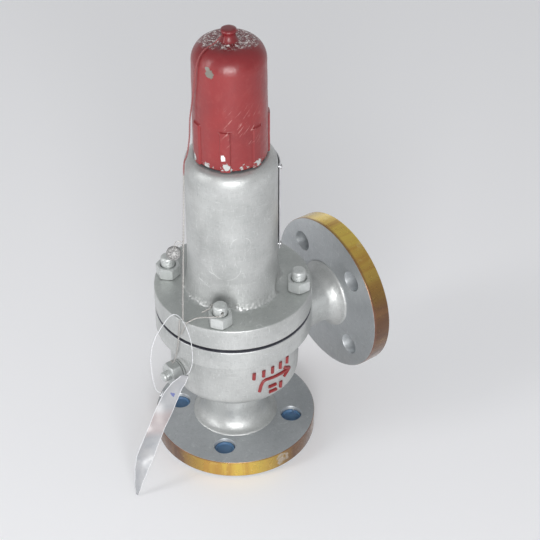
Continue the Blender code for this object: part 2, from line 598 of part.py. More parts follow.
def build():
    for obj in list(bpy.data.objects):
        bpy.data.objects.remove(obj, do_unlink=True)
    mats = {
        "silver": material("silver_paint", (0.58, 0.60, 0.59), 0.42, 0.35),
        "red": material("red_paint", (0.38, 0.045, 0.045), 0.35, 0.0),
        "steel": material("turned_steel", (0.50, 0.50, 0.51), 0.30, 1.0),
        "spring": material("spring_steel", (0.12, 0.12, 0.13), 0.45, 0.8),
        "gasket": material("gasket", (0.10, 0.10, 0.11), 0.8, 0.0),
        "wire": material("wire", (0.55, 0.54, 0.52), 0.4, 0.9),
        "lead": material("lead", (0.40, 0.40, 0.40), 0.55, 0.8),
        "plate": material("plate", (0.55, 0.55, 0.56), 0.35, 0.9),
        "nylon": material("nylon", (0.85, 0.86, 0.88), 0.3, 0.0),
        "tag": material("tag", (0.80, 0.80, 0.80), 0.4, 0.0),
        "blue": material("blue_plastic", (0.11, 0.22, 0.38), 0.4, 0.0),
    }
    lift = pivot_empty("lift_slide")
    plate_slide = pivot_empty("spring_plate_slide")
    screw_turn = pivot_empty("adjusting_screw_axis")
    nut_turn = pivot_empty("lock_nut_axis")
    ring_turn = pivot_empty("ring_axis")
    cap_lift = pivot_empty("cap_slide")
    lock_slide = pivot_empty("lock_screw_slide")
    tag_swing = pivot_empty("tag_pivot")
    make_body(mats["silver"])
    make_bonnet(mats["silver"])
    make_cap(mats["red"], cap_lift)
    make_seat(mats, ring_turn)
    make_guide_and_gaskets(mats)
    make_lifting_parts(mats, lift)
    make_spring(mats["spring"])
    make_adjuster(mats, plate_slide, screw_turn, nut_turn)
    make_fasteners(mats)
    make_lock_screw(mats, lock_slide)
    make_nameplate(mats)
    make_plugs(mats["blue"])
    make_seal(mats, cap_lift, tag_swing)
    make_tag(mats["tag"], tag_swing)


build()
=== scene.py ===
import math

import bmesh
import bpy
from mathutils import Matrix, Vector, noise


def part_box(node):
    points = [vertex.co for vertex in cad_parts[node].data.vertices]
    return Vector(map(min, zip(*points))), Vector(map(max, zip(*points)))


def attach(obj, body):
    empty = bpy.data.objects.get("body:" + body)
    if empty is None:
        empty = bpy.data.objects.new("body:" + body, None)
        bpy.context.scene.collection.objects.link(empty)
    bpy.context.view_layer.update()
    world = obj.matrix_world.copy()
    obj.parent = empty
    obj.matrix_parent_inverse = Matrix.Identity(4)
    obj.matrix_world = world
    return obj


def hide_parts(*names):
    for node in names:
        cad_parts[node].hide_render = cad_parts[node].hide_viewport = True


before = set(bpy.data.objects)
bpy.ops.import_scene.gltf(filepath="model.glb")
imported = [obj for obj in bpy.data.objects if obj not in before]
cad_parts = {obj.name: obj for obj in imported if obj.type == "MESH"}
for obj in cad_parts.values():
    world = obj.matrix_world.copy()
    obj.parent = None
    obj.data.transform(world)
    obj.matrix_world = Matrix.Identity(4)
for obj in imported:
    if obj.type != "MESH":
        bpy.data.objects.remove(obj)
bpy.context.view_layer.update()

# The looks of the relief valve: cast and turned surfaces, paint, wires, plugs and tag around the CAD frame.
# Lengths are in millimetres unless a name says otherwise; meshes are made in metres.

MM = 0.001
TAU = 2 * math.pi


def span(node, axis):
    """A CAD node's lowest and highest coordinate along an axis, in millimetres."""
    low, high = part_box(node)
    return low[axis] / MM, high[axis] / MM


def centre_of(node):
    """The middle of a CAD node's box, in millimetres."""
    return Vector([sum(span(node, axis)) / 2 for axis in range(3)])


def foot_of(node):
    """The point of the floor plane under a CAD node's middle."""
    return Vector((*centre_of(node).xy, 0))


def turned(degrees, axis="Z"):
    """A rotation about an axis through the origin."""
    return Matrix.Rotation(math.radians(degrees), 4, axis)


# Sizes that the frame gives
FLANGE_R = span("body", 1)[1]
OUTLET_FACE = span("body", 0)[1]
OUTLET_Z = span("body", 2)[1] - FLANGE_R
COVER_R = span("bonnet", 1)[1]
BONNET_LOW, COLLAR_TOP = span("bonnet", 2)
CAP_LOW, CAP_TOP = span("cap", 2)
STUD_LOW, STUD_TOP = span("bonnet_stud_1", 2)
NUT_LOW, NUT_TOP = span("bonnet_nut_1", 2)
STUD_CENTRES = [foot_of(f"bonnet_stud_{k}") for k in range(1, 5)]
STUD_CIRCLE = STUD_CENTRES[0].length
STUD_R = (span("bonnet_stud_1", 0)[1] - span("bonnet_stud_1", 0)[0]) / 2
PLUG_LOW, PLUG_TOP = span("inlet_plug_1", 2)
LOCK_Z = centre_of("lock_screw").z
LOCK_OUT = -span("lock_screw", 0)[0]
LOCK_PIN = -span("lock_screw", 0)[1]

# Sizes that no box gives
FLANGE_T = 18.0
RAISED_R = 39.0
RAISED_T = 2.0
BORE = 16.0
BOLT_CIRCLE = 50.0
BOLT_HOLE_R = 9.0
BODY_TOP = BONNET_LOW - 3.0
HUB_R = 37.2
NECK_R = 27.5
BOWL_R = 55.0
CHAMBER_R = 46.0
GASKET_SEAT_R = 47.4
GASKET_SEAT_Z = 133.0
OUTLET_HUB_R = 29.0
BARREL_R = 37.4
SHOULDER_R = 31.3
SHOULDER_LOW = 280.0
COVER_TOP = 162.0
FOOT_BEAD = (162.2, 168.0)
POCKET_R = 18.7
POCKET_TOP = 185.0
LIP_TOP = 290.7
COLLAR_R = 24.5
COLLAR_BORE = 12.3
CAP_R = 28.9
CAP_FOOT_R = 29.4
CAP_LEDGE_Z = 326.8
CAP_CROWN_R = 15.5
CAP_CROWN_LOW = 375.0
RIB_START = math.radians(-131.9)
RIB_COUNT = 7
RIB_R = 30.75
RIB_TOP = 327.7
KNOB_HOLE_Z = 397.6
KNOB_HOLE_TURN = 182
NUT_FLATS = 18.0
NUT_TURNS = (-20, 18, 7, -2)
STUD_HOLE_Z = 176.3
STUD_HOLE_TURN = -106
LOCK_HEAD = (57.8, 67.0)

TO_X = turned(90, "Y")
TO_MINUS_X = turned(-90, "Y")


# ---------------------------------------------------------------- camera, stage and light

def make_camera():
    """A long lens from above the front left, on the line that shows the outlet behind the bonnet."""
    right = Vector((0.8152, -0.5792, 0.0))
    look = Vector((0.4537, 0.6397, -0.6204)).normalized()
    right = (right - look * right.dot(look)).normalized()
    up = right.cross(look)
    data = bpy.data.cameras.new("camera")
    data.sensor_width = 36
    data.lens = 107.4
    camera = bpy.data.objects.new("camera", data)
    turn = Matrix((right, up, -look)).transposed().to_4x4()
    camera.matrix_world = Matrix.Translation((-0.5809, -0.8722, 1.0016)) @ turn
    bpy.context.scene.collection.objects.link(camera)
    bpy.context.scene.camera = camera


def make_light(name, place, target, size, power, colour=(1, 1, 1)):
    data = bpy.data.lights.new(name, "AREA")
    data.shape = "RECTANGLE"
    data.size, data.size_y = size
    data.energy = power
    data.color = colour
    lamp = bpy.data.objects.new(name, data)
    lamp.location = place
    aim = Vector(target) - Vector(place)
    lamp.rotation_euler = aim.to_track_quat("-Z", "Y").to_euler()
    bpy.context.scene.collection.objects.link(lamp)


def make_stage():
    """A plain pale floor under a soft white room that is brightest behind the valve."""
    mesh = bpy.data.meshes.new("floor")
    half = 6.0
    corners = [(-half, -half, 0), (half, -half, 0), (half, half, 0), (-half, half, 0)]
    mesh.from_pydata(corners, [], [(0, 1, 2, 3)])
    floor = bpy.data.objects.new("floor", mesh)
    bpy.context.scene.collection.objects.link(floor)
    mat = bpy.data.materials.new("floor")
    mat.use_nodes = True
    shader = mat.node_tree.nodes["Principled BSDF"]
    shader.inputs["Base Color"].default_value = (0.80, 0.80, 0.82, 1)
    shader.inputs["Roughness"].default_value = 0.55
    shader.inputs["Emission Color"].default_value = (1, 1, 1, 1)
    shader.inputs["Emission Strength"].default_value = 0.13
    mesh.materials.append(mat)

    world = bpy.data.worlds.new("room")
    bpy.context.scene.world = world
    world.use_nodes = True
    tree = world.node_tree
    background = tree.nodes["Background"]
    coordinates = tree.nodes.new("ShaderNodeTexCoord")
    towards = tree.nodes.new("ShaderNodeVectorMath")
    towards.operation = "DOT_PRODUCT"
    towards.inputs[1].default_value = (0.56, 0.83, -0.5)
    ramp = tree.nodes.new("ShaderNodeMapRange")
    for socket, number in (("From Min", 0.55), ("From Max", 0.95), ("To Min", 0.45), ("To Max", 1.15)):
        ramp.inputs[socket].default_value = number
    tree.links.new(coordinates.outputs["Generated"], towards.inputs[0])
    tree.links.new(towards.outputs["Value"], ramp.inputs["Value"])
    tree.links.new(ramp.outputs["Result"], background.inputs["Strength"])
    background.inputs["Color"].default_value = (0.97, 0.985, 1.0, 1)
    make_light("front", (-1.06, -1.70, 0.75), (0, 0, 0.2), (1.1, 0.8), 34)
    make_light("left", (-1.5, 0.35, 0.75), (0, 0, 0.22), (0.35, 1.3), 8)
    bpy.context.scene.view_settings.view_transform = "Standard"
    bpy.context.scene.view_settings.look = "None"


# ---------------------------------------------------------------- mesh tools

def rounded(corners, points=5):
    """An outline from (r, z) or (r, z, round) corners, each rounded corner drawn as a short curve."""
    outline = []
    count = len(corners)
    for i, corner in enumerate(corners):
        here = Vector(corner[:2])
        if len(corner) == 2:
            outline.append(tuple(here))
            continue
        before = Vector(corners[i - 1][:2]) - here
        after = Vector(corners[(i + 1) % count][:2]) - here
        start = here + before.normalized() * corner[2]
        end = here + after.normalized() * corner[2]
        for k in range(points + 1):
            t = k / points
            outline.append(tuple(start * (1 - t) ** 2 + here * 2 * t * (1 - t) + end * t * t))
    return outline


def arc(centre, radii, start, end, count):
    """Points along an elliptical arc of an outline, the angles in degrees."""
    steps = [math.radians(start + (end - start) * i / count) for i in range(count + 1)]
    return [(centre[0] + radii[0] * math.cos(a), centre[1] + radii[1] * math.sin(a)) for a in steps]


def fine(outline, step, closed=True):
    """The outline with its long straight runs divided; an open one keeps its last point."""
    points = []
    for a, b in zip(outline, outline[1:] + outline[:1] if closed else outline[1:]):
        count = max(1, math.ceil(math.dist(a, b) / step))
        points += [(a[0] + (b[0] - a[0]) * i / count, a[1] + (b[1] - a[1]) * i / count) for i in range(count)]
    return points if closed else points + outline[-1:]


def lathe(outline, segments, shape=None):
    """A closed (r, z) outline turned about Z; shape(angle, r, z) may move each point."""
    bm = bmesh.new()
    rings = []
    for r, z in outline:
        if r < 1e-6:
            rings.append([bm.verts.new((0, 0, z * MM))])
            continue
        ring = []
        for k in range(segments):
            angle = TAU * k / segments
            radius, height = shape(angle, r, z) if shape else (r, z)
            across = radius * math.cos(angle) * MM
            away = radius * math.sin(angle) * MM
            ring.append(bm.verts.new((across, away, height * MM)))
        rings.append(ring)
    for a, b in zip(rings, rings[1:] + rings[:1]):
        if len(a) == 1 and len(b) == 1:
            continue
        for k in range(segments):
            n = (k + 1) % segments
            if len(a) == 1:
                bm.faces.new((a[0], b[n], b[k]))
            elif len(b) == 1:
                bm.faces.new((a[k], a[n], b[0]))
            else:
                bm.faces.new((a[k], a[n], b[n], b[k]))
    bmesh.ops.recalc_face_normals(bm, faces=bm.faces)
    return bm


def polar(angle, r, z=0.0):
    """The point at an angle round Z, a radius and a height."""
    return Vector((r * math.cos(angle), r * math.sin(angle), z))


def moved(bm, place=(0, 0, 0), turn=None):
    if turn is not None:
        bmesh.ops.transform(bm, matrix=turn, verts=bm.verts)
    bmesh.ops.translate(bm, verts=bm.verts, vec=Vector(place) * MM)
    return bm


def roughen(bm, depth, size, seed=0.0):
    """Pushes the surface in and out by smooth noise of one feature size."""
    bm.normal_update()
    shift = Vector((seed, seed * 1.7, -seed))
    for v in bm.verts:
        v.co += v.normal * (noise.noise(v.co / (size * MM) + shift) * depth * MM)


def make_object(name, bm, mats, sharp=32):
    mesh = bpy.data.meshes.new(name)
    bm.to_mesh(mesh)
    bm.free()
    for mat in mats:
        mesh.materials.append(mat)
    mesh.shade_smooth()
    mesh.set_sharp_from_angle(angle=math.radians(sharp))
    obj = bpy.data.objects.new(name, mesh)
    bpy.context.scene.collection.objects.link(obj)
    return obj


def evaluated(obj, modifiers):
    """The bmesh of an object after its modifiers; the object and its cutters are thrown away."""
    graph = bpy.context.evaluated_depsgraph_get()
    bm = bmesh.new()
    bm.from_object(obj, graph)
    for other in [m.object for m in modifiers if getattr(m, "object", None)] + [obj]:
        bpy.data.objects.remove(other, do_unlink=True)
    return bm


def combined(base, steps, voxel=None, smooth=0):
    """base with each (operation, mesh) done to it, then remeshed and smoothed if a voxel size is given."""
    obj = make_object("work", base, [])
    made = []
    for operation, bm in steps:
        modifier = obj.modifiers.new(operation, "BOOLEAN")
        modifier.operation = operation
        modifier.object = make_object("tool", bm, [])
        made.append(modifier)
    if voxel:
        remesh = obj.modifiers.new("remesh", "REMESH")
        remesh.mode = "VOXEL"
        remesh.voxel_size = voxel * MM
        soften = obj.modifiers.new("soften", "SMOOTH")
        soften.factor = 0.5
        soften.iterations = smooth
    return evaluated(obj, made)


def joined(parts):
    whole = bmesh.new()
    for part in parts:
        mesh = bpy.data.meshes.new("part")
        part.to_mesh(mesh)
        part.free()
        whole.from_mesh(mesh)
        bpy.data.meshes.remove(mesh)
    return whole


def cut(bm, tool):
    return combined(bm, [("DIFFERENCE", tool)])


def rod(radius, low, high, segments):
    """A plain cylinder along Z."""
    return lathe([(0, low), (radius, low), (radius, high), (0, high)], segments)


def drill(radius, low, high, chamfer, segments):
    """The cutter of a hole that has a chamfer at its top end; it stands out 1 mm past both ends."""
    wide = radius + chamfer
    outline = [(0, low - 1), (radius, low - 1), (radius, high - chamfer), (wide, high + 0.1),
               (wide, high + 1), (0, high + 1)]
    return lathe(outline, segments)


def block(sides, place):
    """A box with the given sides about a place."""
    bm = bmesh.new()
    matrix = Matrix.Translation(Vector(place) * MM) @ Matrix.Diagonal((*[side * MM for side in sides], 1))
    bmesh.ops.create_cube(bm, size=1, matrix=matrix)
    return bm


def hexagon(flats, low, high, turn=0.0, chamfer=1.1, soft=0.5):
    """A nut's outside: a hexagonal prism whose corners are turned off at the ends, with soft edges."""
    bm = bmesh.new()
    corner = flats / 2 / math.cos(math.pi / 6)
    ring = [bm.verts.new(polar(turn + TAU * i / 6, corner, low) * MM) for i in range(6)]
    face = bm.faces.new(ring)
    pulled = bmesh.ops.extrude_face_region(bm, geom=[face])["geom"]
    bmesh.ops.translate(bm, verts=[v for v in pulled if isinstance(v, bmesh.types.BMVert)],
                        vec=(0, 0, (high - low) * MM))
    bmesh.ops.recalc_face_normals(bm, faces=bm.faces)
    upright = [e for e in bm.edges if abs(e.verts[0].co.z - e.verts[1].co.z) > 1e-4]
    bmesh.ops.bevel(bm, geom=upright, offset=soft * MM, segments=3, profile=0.5, affect="EDGES")
    inner = flats / 2 - 0.2
    outer = corner + 1
    foot = [(0, low), (inner, low), (outer, low + chamfer)]
    cone = [*foot, (outer, high - chamfer * (outer - inner) / (corner - inner)), (inner, high), (0, high)]
    return combined(bm, [("INTERSECT", lathe(fine(cone, 4), 96))])


def smooth_route(points, step):
    """Points about a step apart on a Catmull-Rom curve through the given points."""
    pts = [Vector(p) for p in points]
    ends = [2 * pts[0] - pts[1]] + pts + [2 * pts[-1] - pts[-2]]
    path = []
    for p0, p1, p2, p3 in zip(ends, ends[1:], ends[2:], ends[3:]):
        count = max(1, round((p2 - p1).length / step))
        for i in range(count):
            t = i / count
            a = 2 * p1 + (p2 - p0) * t
            b = (2 * p0 - 5 * p1 + 4 * p2 - p3) * t * t
            path.append((a + b + (3 * p1 - p0 - 3 * p2 + p3) * t ** 3) / 2)
    path.append(pts[-1])
    return path


def wire(name, paths, radius, mat, sides=8):
    """A round wire along each path, with closed ends."""
    curve = bpy.data.curves.new(name, "CURVE")
    curve.dimensions = "3D"
    curve.bevel_depth = radius * MM
    curve.bevel_resolution = (sides - 4) // 2
    curve.use_fill_caps = True
    for path in paths:
        spline = curve.splines.new("POLY")
        spline.points.add(len(path) - 1)
        for point, co in zip(spline.points, path):
            point.co = (*(co * MM), 1)
    curve.materials.append(mat)
    obj = bpy.data.objects.new(name, curve)
    bpy.context.scene.collection.objects.link(obj)
    return obj


def twisted(route, radius, lay, loosen=0.0):
    """Two strands twisted round a route, one turn in each lay length; loosen opens the twist unevenly."""
    path = smooth_route(route, lay / 8)
    side = Vector((0.3, 0.2, 0.9)).cross(path[1] - path[0]).normalized()
    strands = [[], []]
    travelled = 0.0
    for i, point in enumerate(path):
        ahead = (path[min(i + 1, len(path) - 1)] - path[max(i - 1, 0)]).normalized()
        side = (side - ahead * side.dot(ahead)).normalized()
        across = ahead.cross(side)
        if i:
            travelled += (point - path[i - 1]).length
        angle = TAU * travelled / lay
        spread = radius * (1 + loosen * (0.5 + 0.5 * noise.noise(Vector((travelled / 17, 3.1, 0)))))
        arm = (side * math.cos(angle) + across * math.sin(angle)) * spread
        strands[0].append(point + arm)
        strands[1].append(point - arm)
    return strands


def smoothstep(low, high, value):
    t = min(max((value - low) / (high - low), 0.0), 1.0)
    return t * t * (3 - 2 * t)


def soft_min(a, b, width):
    return -width * math.log(math.exp(-a / width) + math.exp(-b / width))


def angle_from(angle, first, spacing):
    """How far an angle is from the nearest of several evenly spaced ones."""
    return (angle - first + spacing / 2) % spacing - spacing / 2


def thread(pitch, depth, low, high):
    """A shape function that cuts a screw thread between two heights."""
    def shape(angle, r, z):
        if not low < z < high:
            return r, z
        phase = (z / pitch - angle / TAU) % 1
        fade = min(1, (z - low) / pitch, (high - z) / pitch)
        return r - depth * fade * abs(2 * phase - 1), z
    return shape


# ---------------------------------------------------------------- materials

class Finish:
    """A node material with helpers that add noise, ramps and bumps in object space."""

    def __init__(self, name, colour, roughness, metallic=0.0, **sockets):
        self.mat = bpy.data.materials.new(name)
        self.mat.use_nodes = True
        self.tree = self.mat.node_tree
        self.shader = self.tree.nodes["Principled BSDF"]
        self.shader.inputs["Base Color"].default_value = (*colour, 1)
        self.shader.inputs["Roughness"].default_value = roughness
        self.shader.inputs["Metallic"].default_value = metallic
        for socket, value in sockets.items():
            self.shader.inputs[socket.replace("_", " ")].default_value = value
        self.place = self.tree.nodes.new("ShaderNodeTexCoord").outputs["Object"]
        self.bump_input = self.shader.inputs["Normal"]

    def node(self, kind, **settings):
        node = self.tree.nodes.new(kind)
        for key, value in settings.items():
            setattr(node, key, value)
        return node

    def link(self, output, target):
        self.tree.links.new(output, target)

    def stretched(self, scale):
        mapping = self.node("ShaderNodeMapping")
        mapping.inputs["Scale"].default_value = scale
        self.link(self.place, mapping.inputs["Vector"])
        return mapping.outputs["Vector"]

    def noise(self, size, detail=4, roughness=0.55, place=None, distortion=0.0):
        """Noise whose features are about size millimetres across."""
        node = self.node("ShaderNodeTexNoise")
        node.inputs["Scale"].default_value = 1 / (size * MM)
        node.inputs["Detail"].default_value = detail
        node.inputs["Roughness"].default_value = roughness
        node.inputs["Distortion"].default_value = distortion
        self.link(place or self.place, node.inputs["Vector"])
        return node.outputs["Fac"]

    def ramp(self, value, low, high, out_low=0.0, out_high=1.0):
        node = self.node("ShaderNodeMapRange")
        numbers = {"From Min": low, "From Max": high, "To Min": out_low, "To Max": out_high}
        for socket, number in numbers.items():
            node.inputs[socket].default_value = number
        self.link(value, node.inputs["Value"])
        return node.outputs["Result"]

    def math(self, operation, a, b=None):
        node = self.node("ShaderNodeMath", operation=operation)
        for socket, value in zip(node.inputs, (a, b)):
            if value is None:
                continue
            if isinstance(value, (int, float)):
                socket.default_value = value
            else:
                self.link(value, socket)
        return node.outputs["Value"]

    def times(self, a, b):
        return self.math("MULTIPLY", a, b)

    def plus(self, a, b):
        return self.math("ADD", a, b)

    def either(self, a, b):
        """The greater of two masks."""
        return self.math("MAXIMUM", a, b)

    def ragged(self, amount, *grain):
        """Noise about zero, which makes the edge of a mask uneven."""
        return self.times(self.math("SUBTRACT", self.noise(*grain), 0.5), amount)

    def vector(self, operation, vector, other=(0, 0, 0)):
        """The result of a vector operation, a number unless it is a difference."""
        node = self.node("ShaderNodeVectorMath", operation=operation)
        node.inputs[1].default_value = other
        self.link(vector, node.inputs[0])
        return node.outputs["Vector" if operation == "SUBTRACT" else "Value"]

    def coordinate(self, axis):
        node = self.node("ShaderNodeSeparateXYZ")
        self.link(self.place, node.inputs["Vector"])
        return node.outputs[axis]

    def mix(self, mask, a, b):
        """Colour a where the mask is 0 and b where it is 1."""
        node = self.node("ShaderNodeMix", data_type="RGBA")
        self.link(mask, node.inputs["Factor"])
        for socket, colour in zip((node.inputs[6], node.inputs[7]), (a, b)):
            if isinstance(colour, tuple):
                socket.default_value = (*colour, 1)
            else:
                self.link(colour, socket)
        return node.outputs[2]

    def blend(self, mask, a, b):
        """Number a where the mask is 0 and b where it is 1."""
        return self.ramp(mask, 0, 1, a, b)

    def bump(self, height, depth, strength=1.0):
        """Adds a bump whose full height is depth millimetres."""
        node = self.node("ShaderNodeBump")
        node.inputs["Strength"].default_value = strength
        node.inputs["Distance"].default_value = depth * MM
        self.link(height, node.inputs["Height"])
        if self.bump_input.is_linked:
            self.link(self.bump_input.links[0].from_socket, node.inputs["Normal"])
        self.link(node.outputs["Normal"], self.bump_input)

    def set(self, socket, output):
        self.link(output, self.shader.inputs[socket])

    def colour(self, output):
        self.set("Base Color", output)

    def rough_between(self, low, high, *grain):
        """Roughness that wanders between two values."""
        self.set("Roughness", self.ramp(self.noise(*grain), 0.3, 0.7, low, high))


SILVER_LIGHT = (0.53, 0.54, 0.533)
SILVER_DARK = (0.41, 0.42, 0.414)
RED = (0.245, 0.016, 0.017)
RED_DARK = (0.15, 0.012, 0.018)


def silver_paint(name, rough_cast=0.14, light=SILVER_LIGHT, dark=SILVER_DARK, scuffs=False):
    """Aluminium paint on iron: uneven coats, faint dirt and brush marks; the barrel's is scuffed as well."""
    f = Finish(name, light, 0.4, 0.55)
    coats = f.ramp(f.noise(38, 3), 0.35, 0.68)
    colour = f.mix(coats, light, dark)
    dirt = f.ramp(f.noise(6, 8, 0.7), 0.62, 0.80)
    colour = f.mix(f.times(dirt, 0.45), colour, (0.30, 0.30, 0.29))
    strokes = f.noise(1.6, 4, 0.6, f.stretched((1, 1, 0.16)), 2.2)
    level = f.noise(1.5, 4, 0.6, f.stretched((0.22, 0.22, 1)), 1.6)
    brushed = f.either(f.ramp(strokes, 0.58, 0.74), f.ramp(level, 0.60, 0.76))
    colour = f.mix(f.times(brushed, 0.55), colour, (0.74, 0.76, 0.75))
    dull = f.ramp(f.plus(strokes, level), 0.92, 0.74)
    colour = f.mix(f.times(dull, 0.42), colour, (0.30, 0.315, 0.31))
    f.colour(colour)
    f.rough_between(0.33, 0.52, 9, 5, 0.65)
    f.bump(f.noise(14, 4), rough_cast * 3.5, 0.6)
    f.bump(f.noise(1.8, 5, 0.6), rough_cast * 1.7, 0.6)
    f.bump(brushed, 0.06, 0.5)
    f.bump(f.noise(0.45, 2), 0.03, 0.4)
    if scuffs:
        marks = add_scuffs(f)
        f.colour(f.mix(f.times(marks, 0.35), colour, (0.86, 0.87, 0.86)))
    return f.mat


# Centre and radius in metres, and how far above the centre the visible part starts, as a share of the radius
RUBBED_RINGS = (((-0.0148, -0.0344, 0.2260), 0.0082, 1.0), ((-0.0253, -0.0277, 0.2040), 0.0124, 0.0))
BARREL_SCRATCHES = (((-0.0371, -0.0054, 0.1862), (-0.0334, -0.0171, 0.1813)),
                    ((-0.0339, -0.0161, 0.1977), (-0.0312, -0.0207, 0.1956)))


def add_scuffs(f):
    """Faint rings that something round rubbed into the barrel's paint, and two short bright scratches."""
    marks = 0.0
    for centre, radius, start in RUBBED_RINGS:
        away = f.vector("DISTANCE", f.place, centre)
        ring = f.ramp(f.math("ABSOLUTE", f.math("SUBTRACT", away, radius)), 0.0, 0.0005, 1, 0)
        top = centre[2] + start * radius
        lower_part = f.ramp(f.coordinate("Z"), top, top - 0.001)
        mark = f.times(ring, f.times(lower_part, f.ramp(f.noise(8, 3), 0.38, 0.55)))
        marks = f.either(marks, mark)
    for start, end in BARREL_SCRATCHES:
        marks = f.either(marks, scratch_line(f, start, end, 0.0006))
    f.bump(marks, 0.07, 0.6)
    return marks


def scratch_line(f, start, end, width):
    """A mask along a short straight line in space."""
    start, end = Vector(start), Vector(end)
    half = (end - start).length / 2
    offset = f.vector("SUBTRACT", f.place, (start + end) / 2)
    travel = f.vector("DOT_PRODUCT", offset, (end - start).normalized())
    squares = [f.math("POWER", value, 2.0) for value in (f.vector("LENGTH", offset), travel)]
    aside = f.math("SQRT", f.either(f.math("SUBTRACT", *squares), 0.0))
    core = f.ramp(f.plus(aside, f.ragged(width * 2.2, 2.5, 4)), width * 0.8, width * 1.3, 1, 0)
    return f.times(core, f.ramp(f.math("ABSOLUTE", travel), half * 0.8, half, 1, 0))


def red_paint(name, cap=True):
    """Thick glossy red enamel; on the cap it is worn, with a darker grainy crown flecked with painted glints,
    and chipped at the foot.
    """
    f = Finish(name, RED, 0.34, 0.0, Coat_Weight=0.3, Coat_Roughness=0.24)
    colour = f.mix(f.ramp(f.noise(30, 3), 0.35, 0.70), RED, (0.20, 0.013, 0.015))
    faded = f.ramp(f.noise(7, 6, 0.7), 0.52, 0.78)
    colour = f.mix(f.times(faded, 0.40), colour, (0.32, 0.065, 0.058))
    rough = f.ramp(f.noise(5, 5, 0.6), 0.3, 0.7, 0.28, 0.46)
    if cap:
        colour, rough = worn_cap(f, colour, rough)
    f.colour(colour)
    f.set("Roughness", rough)
    f.bump(f.noise(9, 4), 0.4, 0.5)
    f.bump(f.noise(1.5, 5, 0.65), 0.17, 0.6)
    return f.mat


# Places in metres and radii of the chips at the cap's foot and of the grey chip by its crown
FOOT_CHIPS = (((-0.0198, -0.0236, 0.2977), 0.0030), ((-0.0289, 0.0049, 0.2965), 0.0032),
              ((-0.0281, -0.0083, 0.2944), 0.0024), ((0.0055, -0.0288, 0.2955), 0.0026))
GREY_CHIP = (((-0.0264, -0.0128, 0.3772), 0.0036), ((-0.0272, -0.0108, 0.3808), 0.0023))
DRIP = ((-0.0221, -0.0215, 0.3084), (-0.0213, -0.0223, 0.3026))


def worn_cap(f, colour, rough):
    """Adds the cap's wear: a darker grainy crown flecked with painted glints, chips to silver at the foot, a
    grey chip and fine scratches.
    """
    height = f.coordinate("Z")
    tilted = f.vector("DOT_PRODUCT", f.place, (0.112, 0.166, 1.0))
    off_knob = f.ramp(f.vector("LENGTH", f.stretched((1, 1, 0))), 0.0072, 0.0082)
    # The crown zone carries both the crown's grainy wear and the painted glints.
    crown_wear_and_glints = f.times(f.ramp(f.plus(tilted, f.ragged(0.005, 6, 4)), 0.3880, 0.3898), off_knob)
    colour = f.mix(f.times(f.ramp(height, 0.376, 0.390), 0.50), colour, RED_DARK)
    grain = f.noise(1.5, 7, 0.8)
    colour = f.mix(f.times(crown_wear_and_glints, f.ramp(grain, 0.44, 0.58, 0.0, 0.8)), colour, (0.11, 0.014, 0.02))
    # Painted glints: white flecks on the crown stand in for reflections of the bright room behind.
    painted_glints = f.times(crown_wear_and_glints, f.ramp(f.noise(2.0, 6, 0.8), 0.535, 0.565))
    colour = f.mix(painted_glints, colour, (0.95, 0.90, 0.87))
    foot = f.ramp(height, 0.2925, 0.3000, 0.13, 0.0)
    chips = f.ramp(f.plus(f.noise(5.0, 6, 0.62), foot), 0.665, 0.68)
    chips = f.times(f.ramp(height, 0.3045, 0.3000), chips)
    for centre, size in FOOT_CHIPS:
        chips = f.either(chips, spot(f, centre, size, 1.5))
    drip = scratch_line(f, *DRIP, 0.0014)
    chips = f.either(chips, drip)
    grey = f.either(*[spot(f, centre, size, 0.9) for centre, size in GREY_CHIP])
    colour = f.mix(chips, colour, f.mix(drip, (0.45, 0.46, 0.45), (0.88, 0.89, 0.89)))
    colour = f.mix(grey, colour, (0.17, 0.155, 0.13))
    colour = f.mix(f.times(fine_scratches(f), 0.6), colour, (0.60, 0.34, 0.31))
    f.bump(f.either(chips, grey), -0.2, 1.0)
    f.bump(f.times(crown_wear_and_glints, grain), 1.1, 1.0)
    return colour, f.plus(rough, f.times(crown_wear_and_glints, -0.10))


def spot(f, centre, radius, unevenness):
    """A mask that is 1 within an uneven spot."""
    away = f.plus(f.vector("DISTANCE", f.place, centre), f.ragged(radius * 2 * unevenness, 3.5, 5, 0.6))
    return f.ramp(away, radius * 0.95, radius * 1.05, 1, 0)


def fine_scratches(f):
    """Thin scratches that climb to the right at 50 degrees on the lower front of the cap."""
    split = f.node("ShaderNodeSeparateXYZ")
    f.link(f.place, split.inputs["Vector"])
    radius = 0.0293
    round_the_cap = f.times(f.math("ARCTAN2", split.outputs["Y"], split.outputs["X"]), radius)
    flat = f.node("ShaderNodeCombineXYZ")
    f.link(round_the_cap, flat.inputs["X"])
    f.link(split.outputs["Z"], flat.inputs["Y"])
    slanted = f.node("ShaderNodeMapping", vector_type="TEXTURE")
    slanted.inputs["Rotation"].default_value = (0, 0, math.radians(50))
    slanted.inputs["Scale"].default_value = (15, 1, 1)
    f.link(flat.outputs["Vector"], slanted.inputs["Vector"])
    lines = f.ramp(f.noise(0.95, 1, 0.4, slanted.outputs["Vector"], 0.3), 0.635, 0.66)
    height = split.outputs["Z"]
    zone = f.times(f.ramp(height, 0.352, 0.338), f.ramp(height, 0.314, 0.319))
    front = f.times(f.ramp(round_the_cap, -0.072, -0.066), f.ramp(round_the_cap, -0.036, -0.044))
    return f.times(lines, f.times(f.times(zone, front), f.ramp(f.noise(9, 3), 0.42, 0.52)))


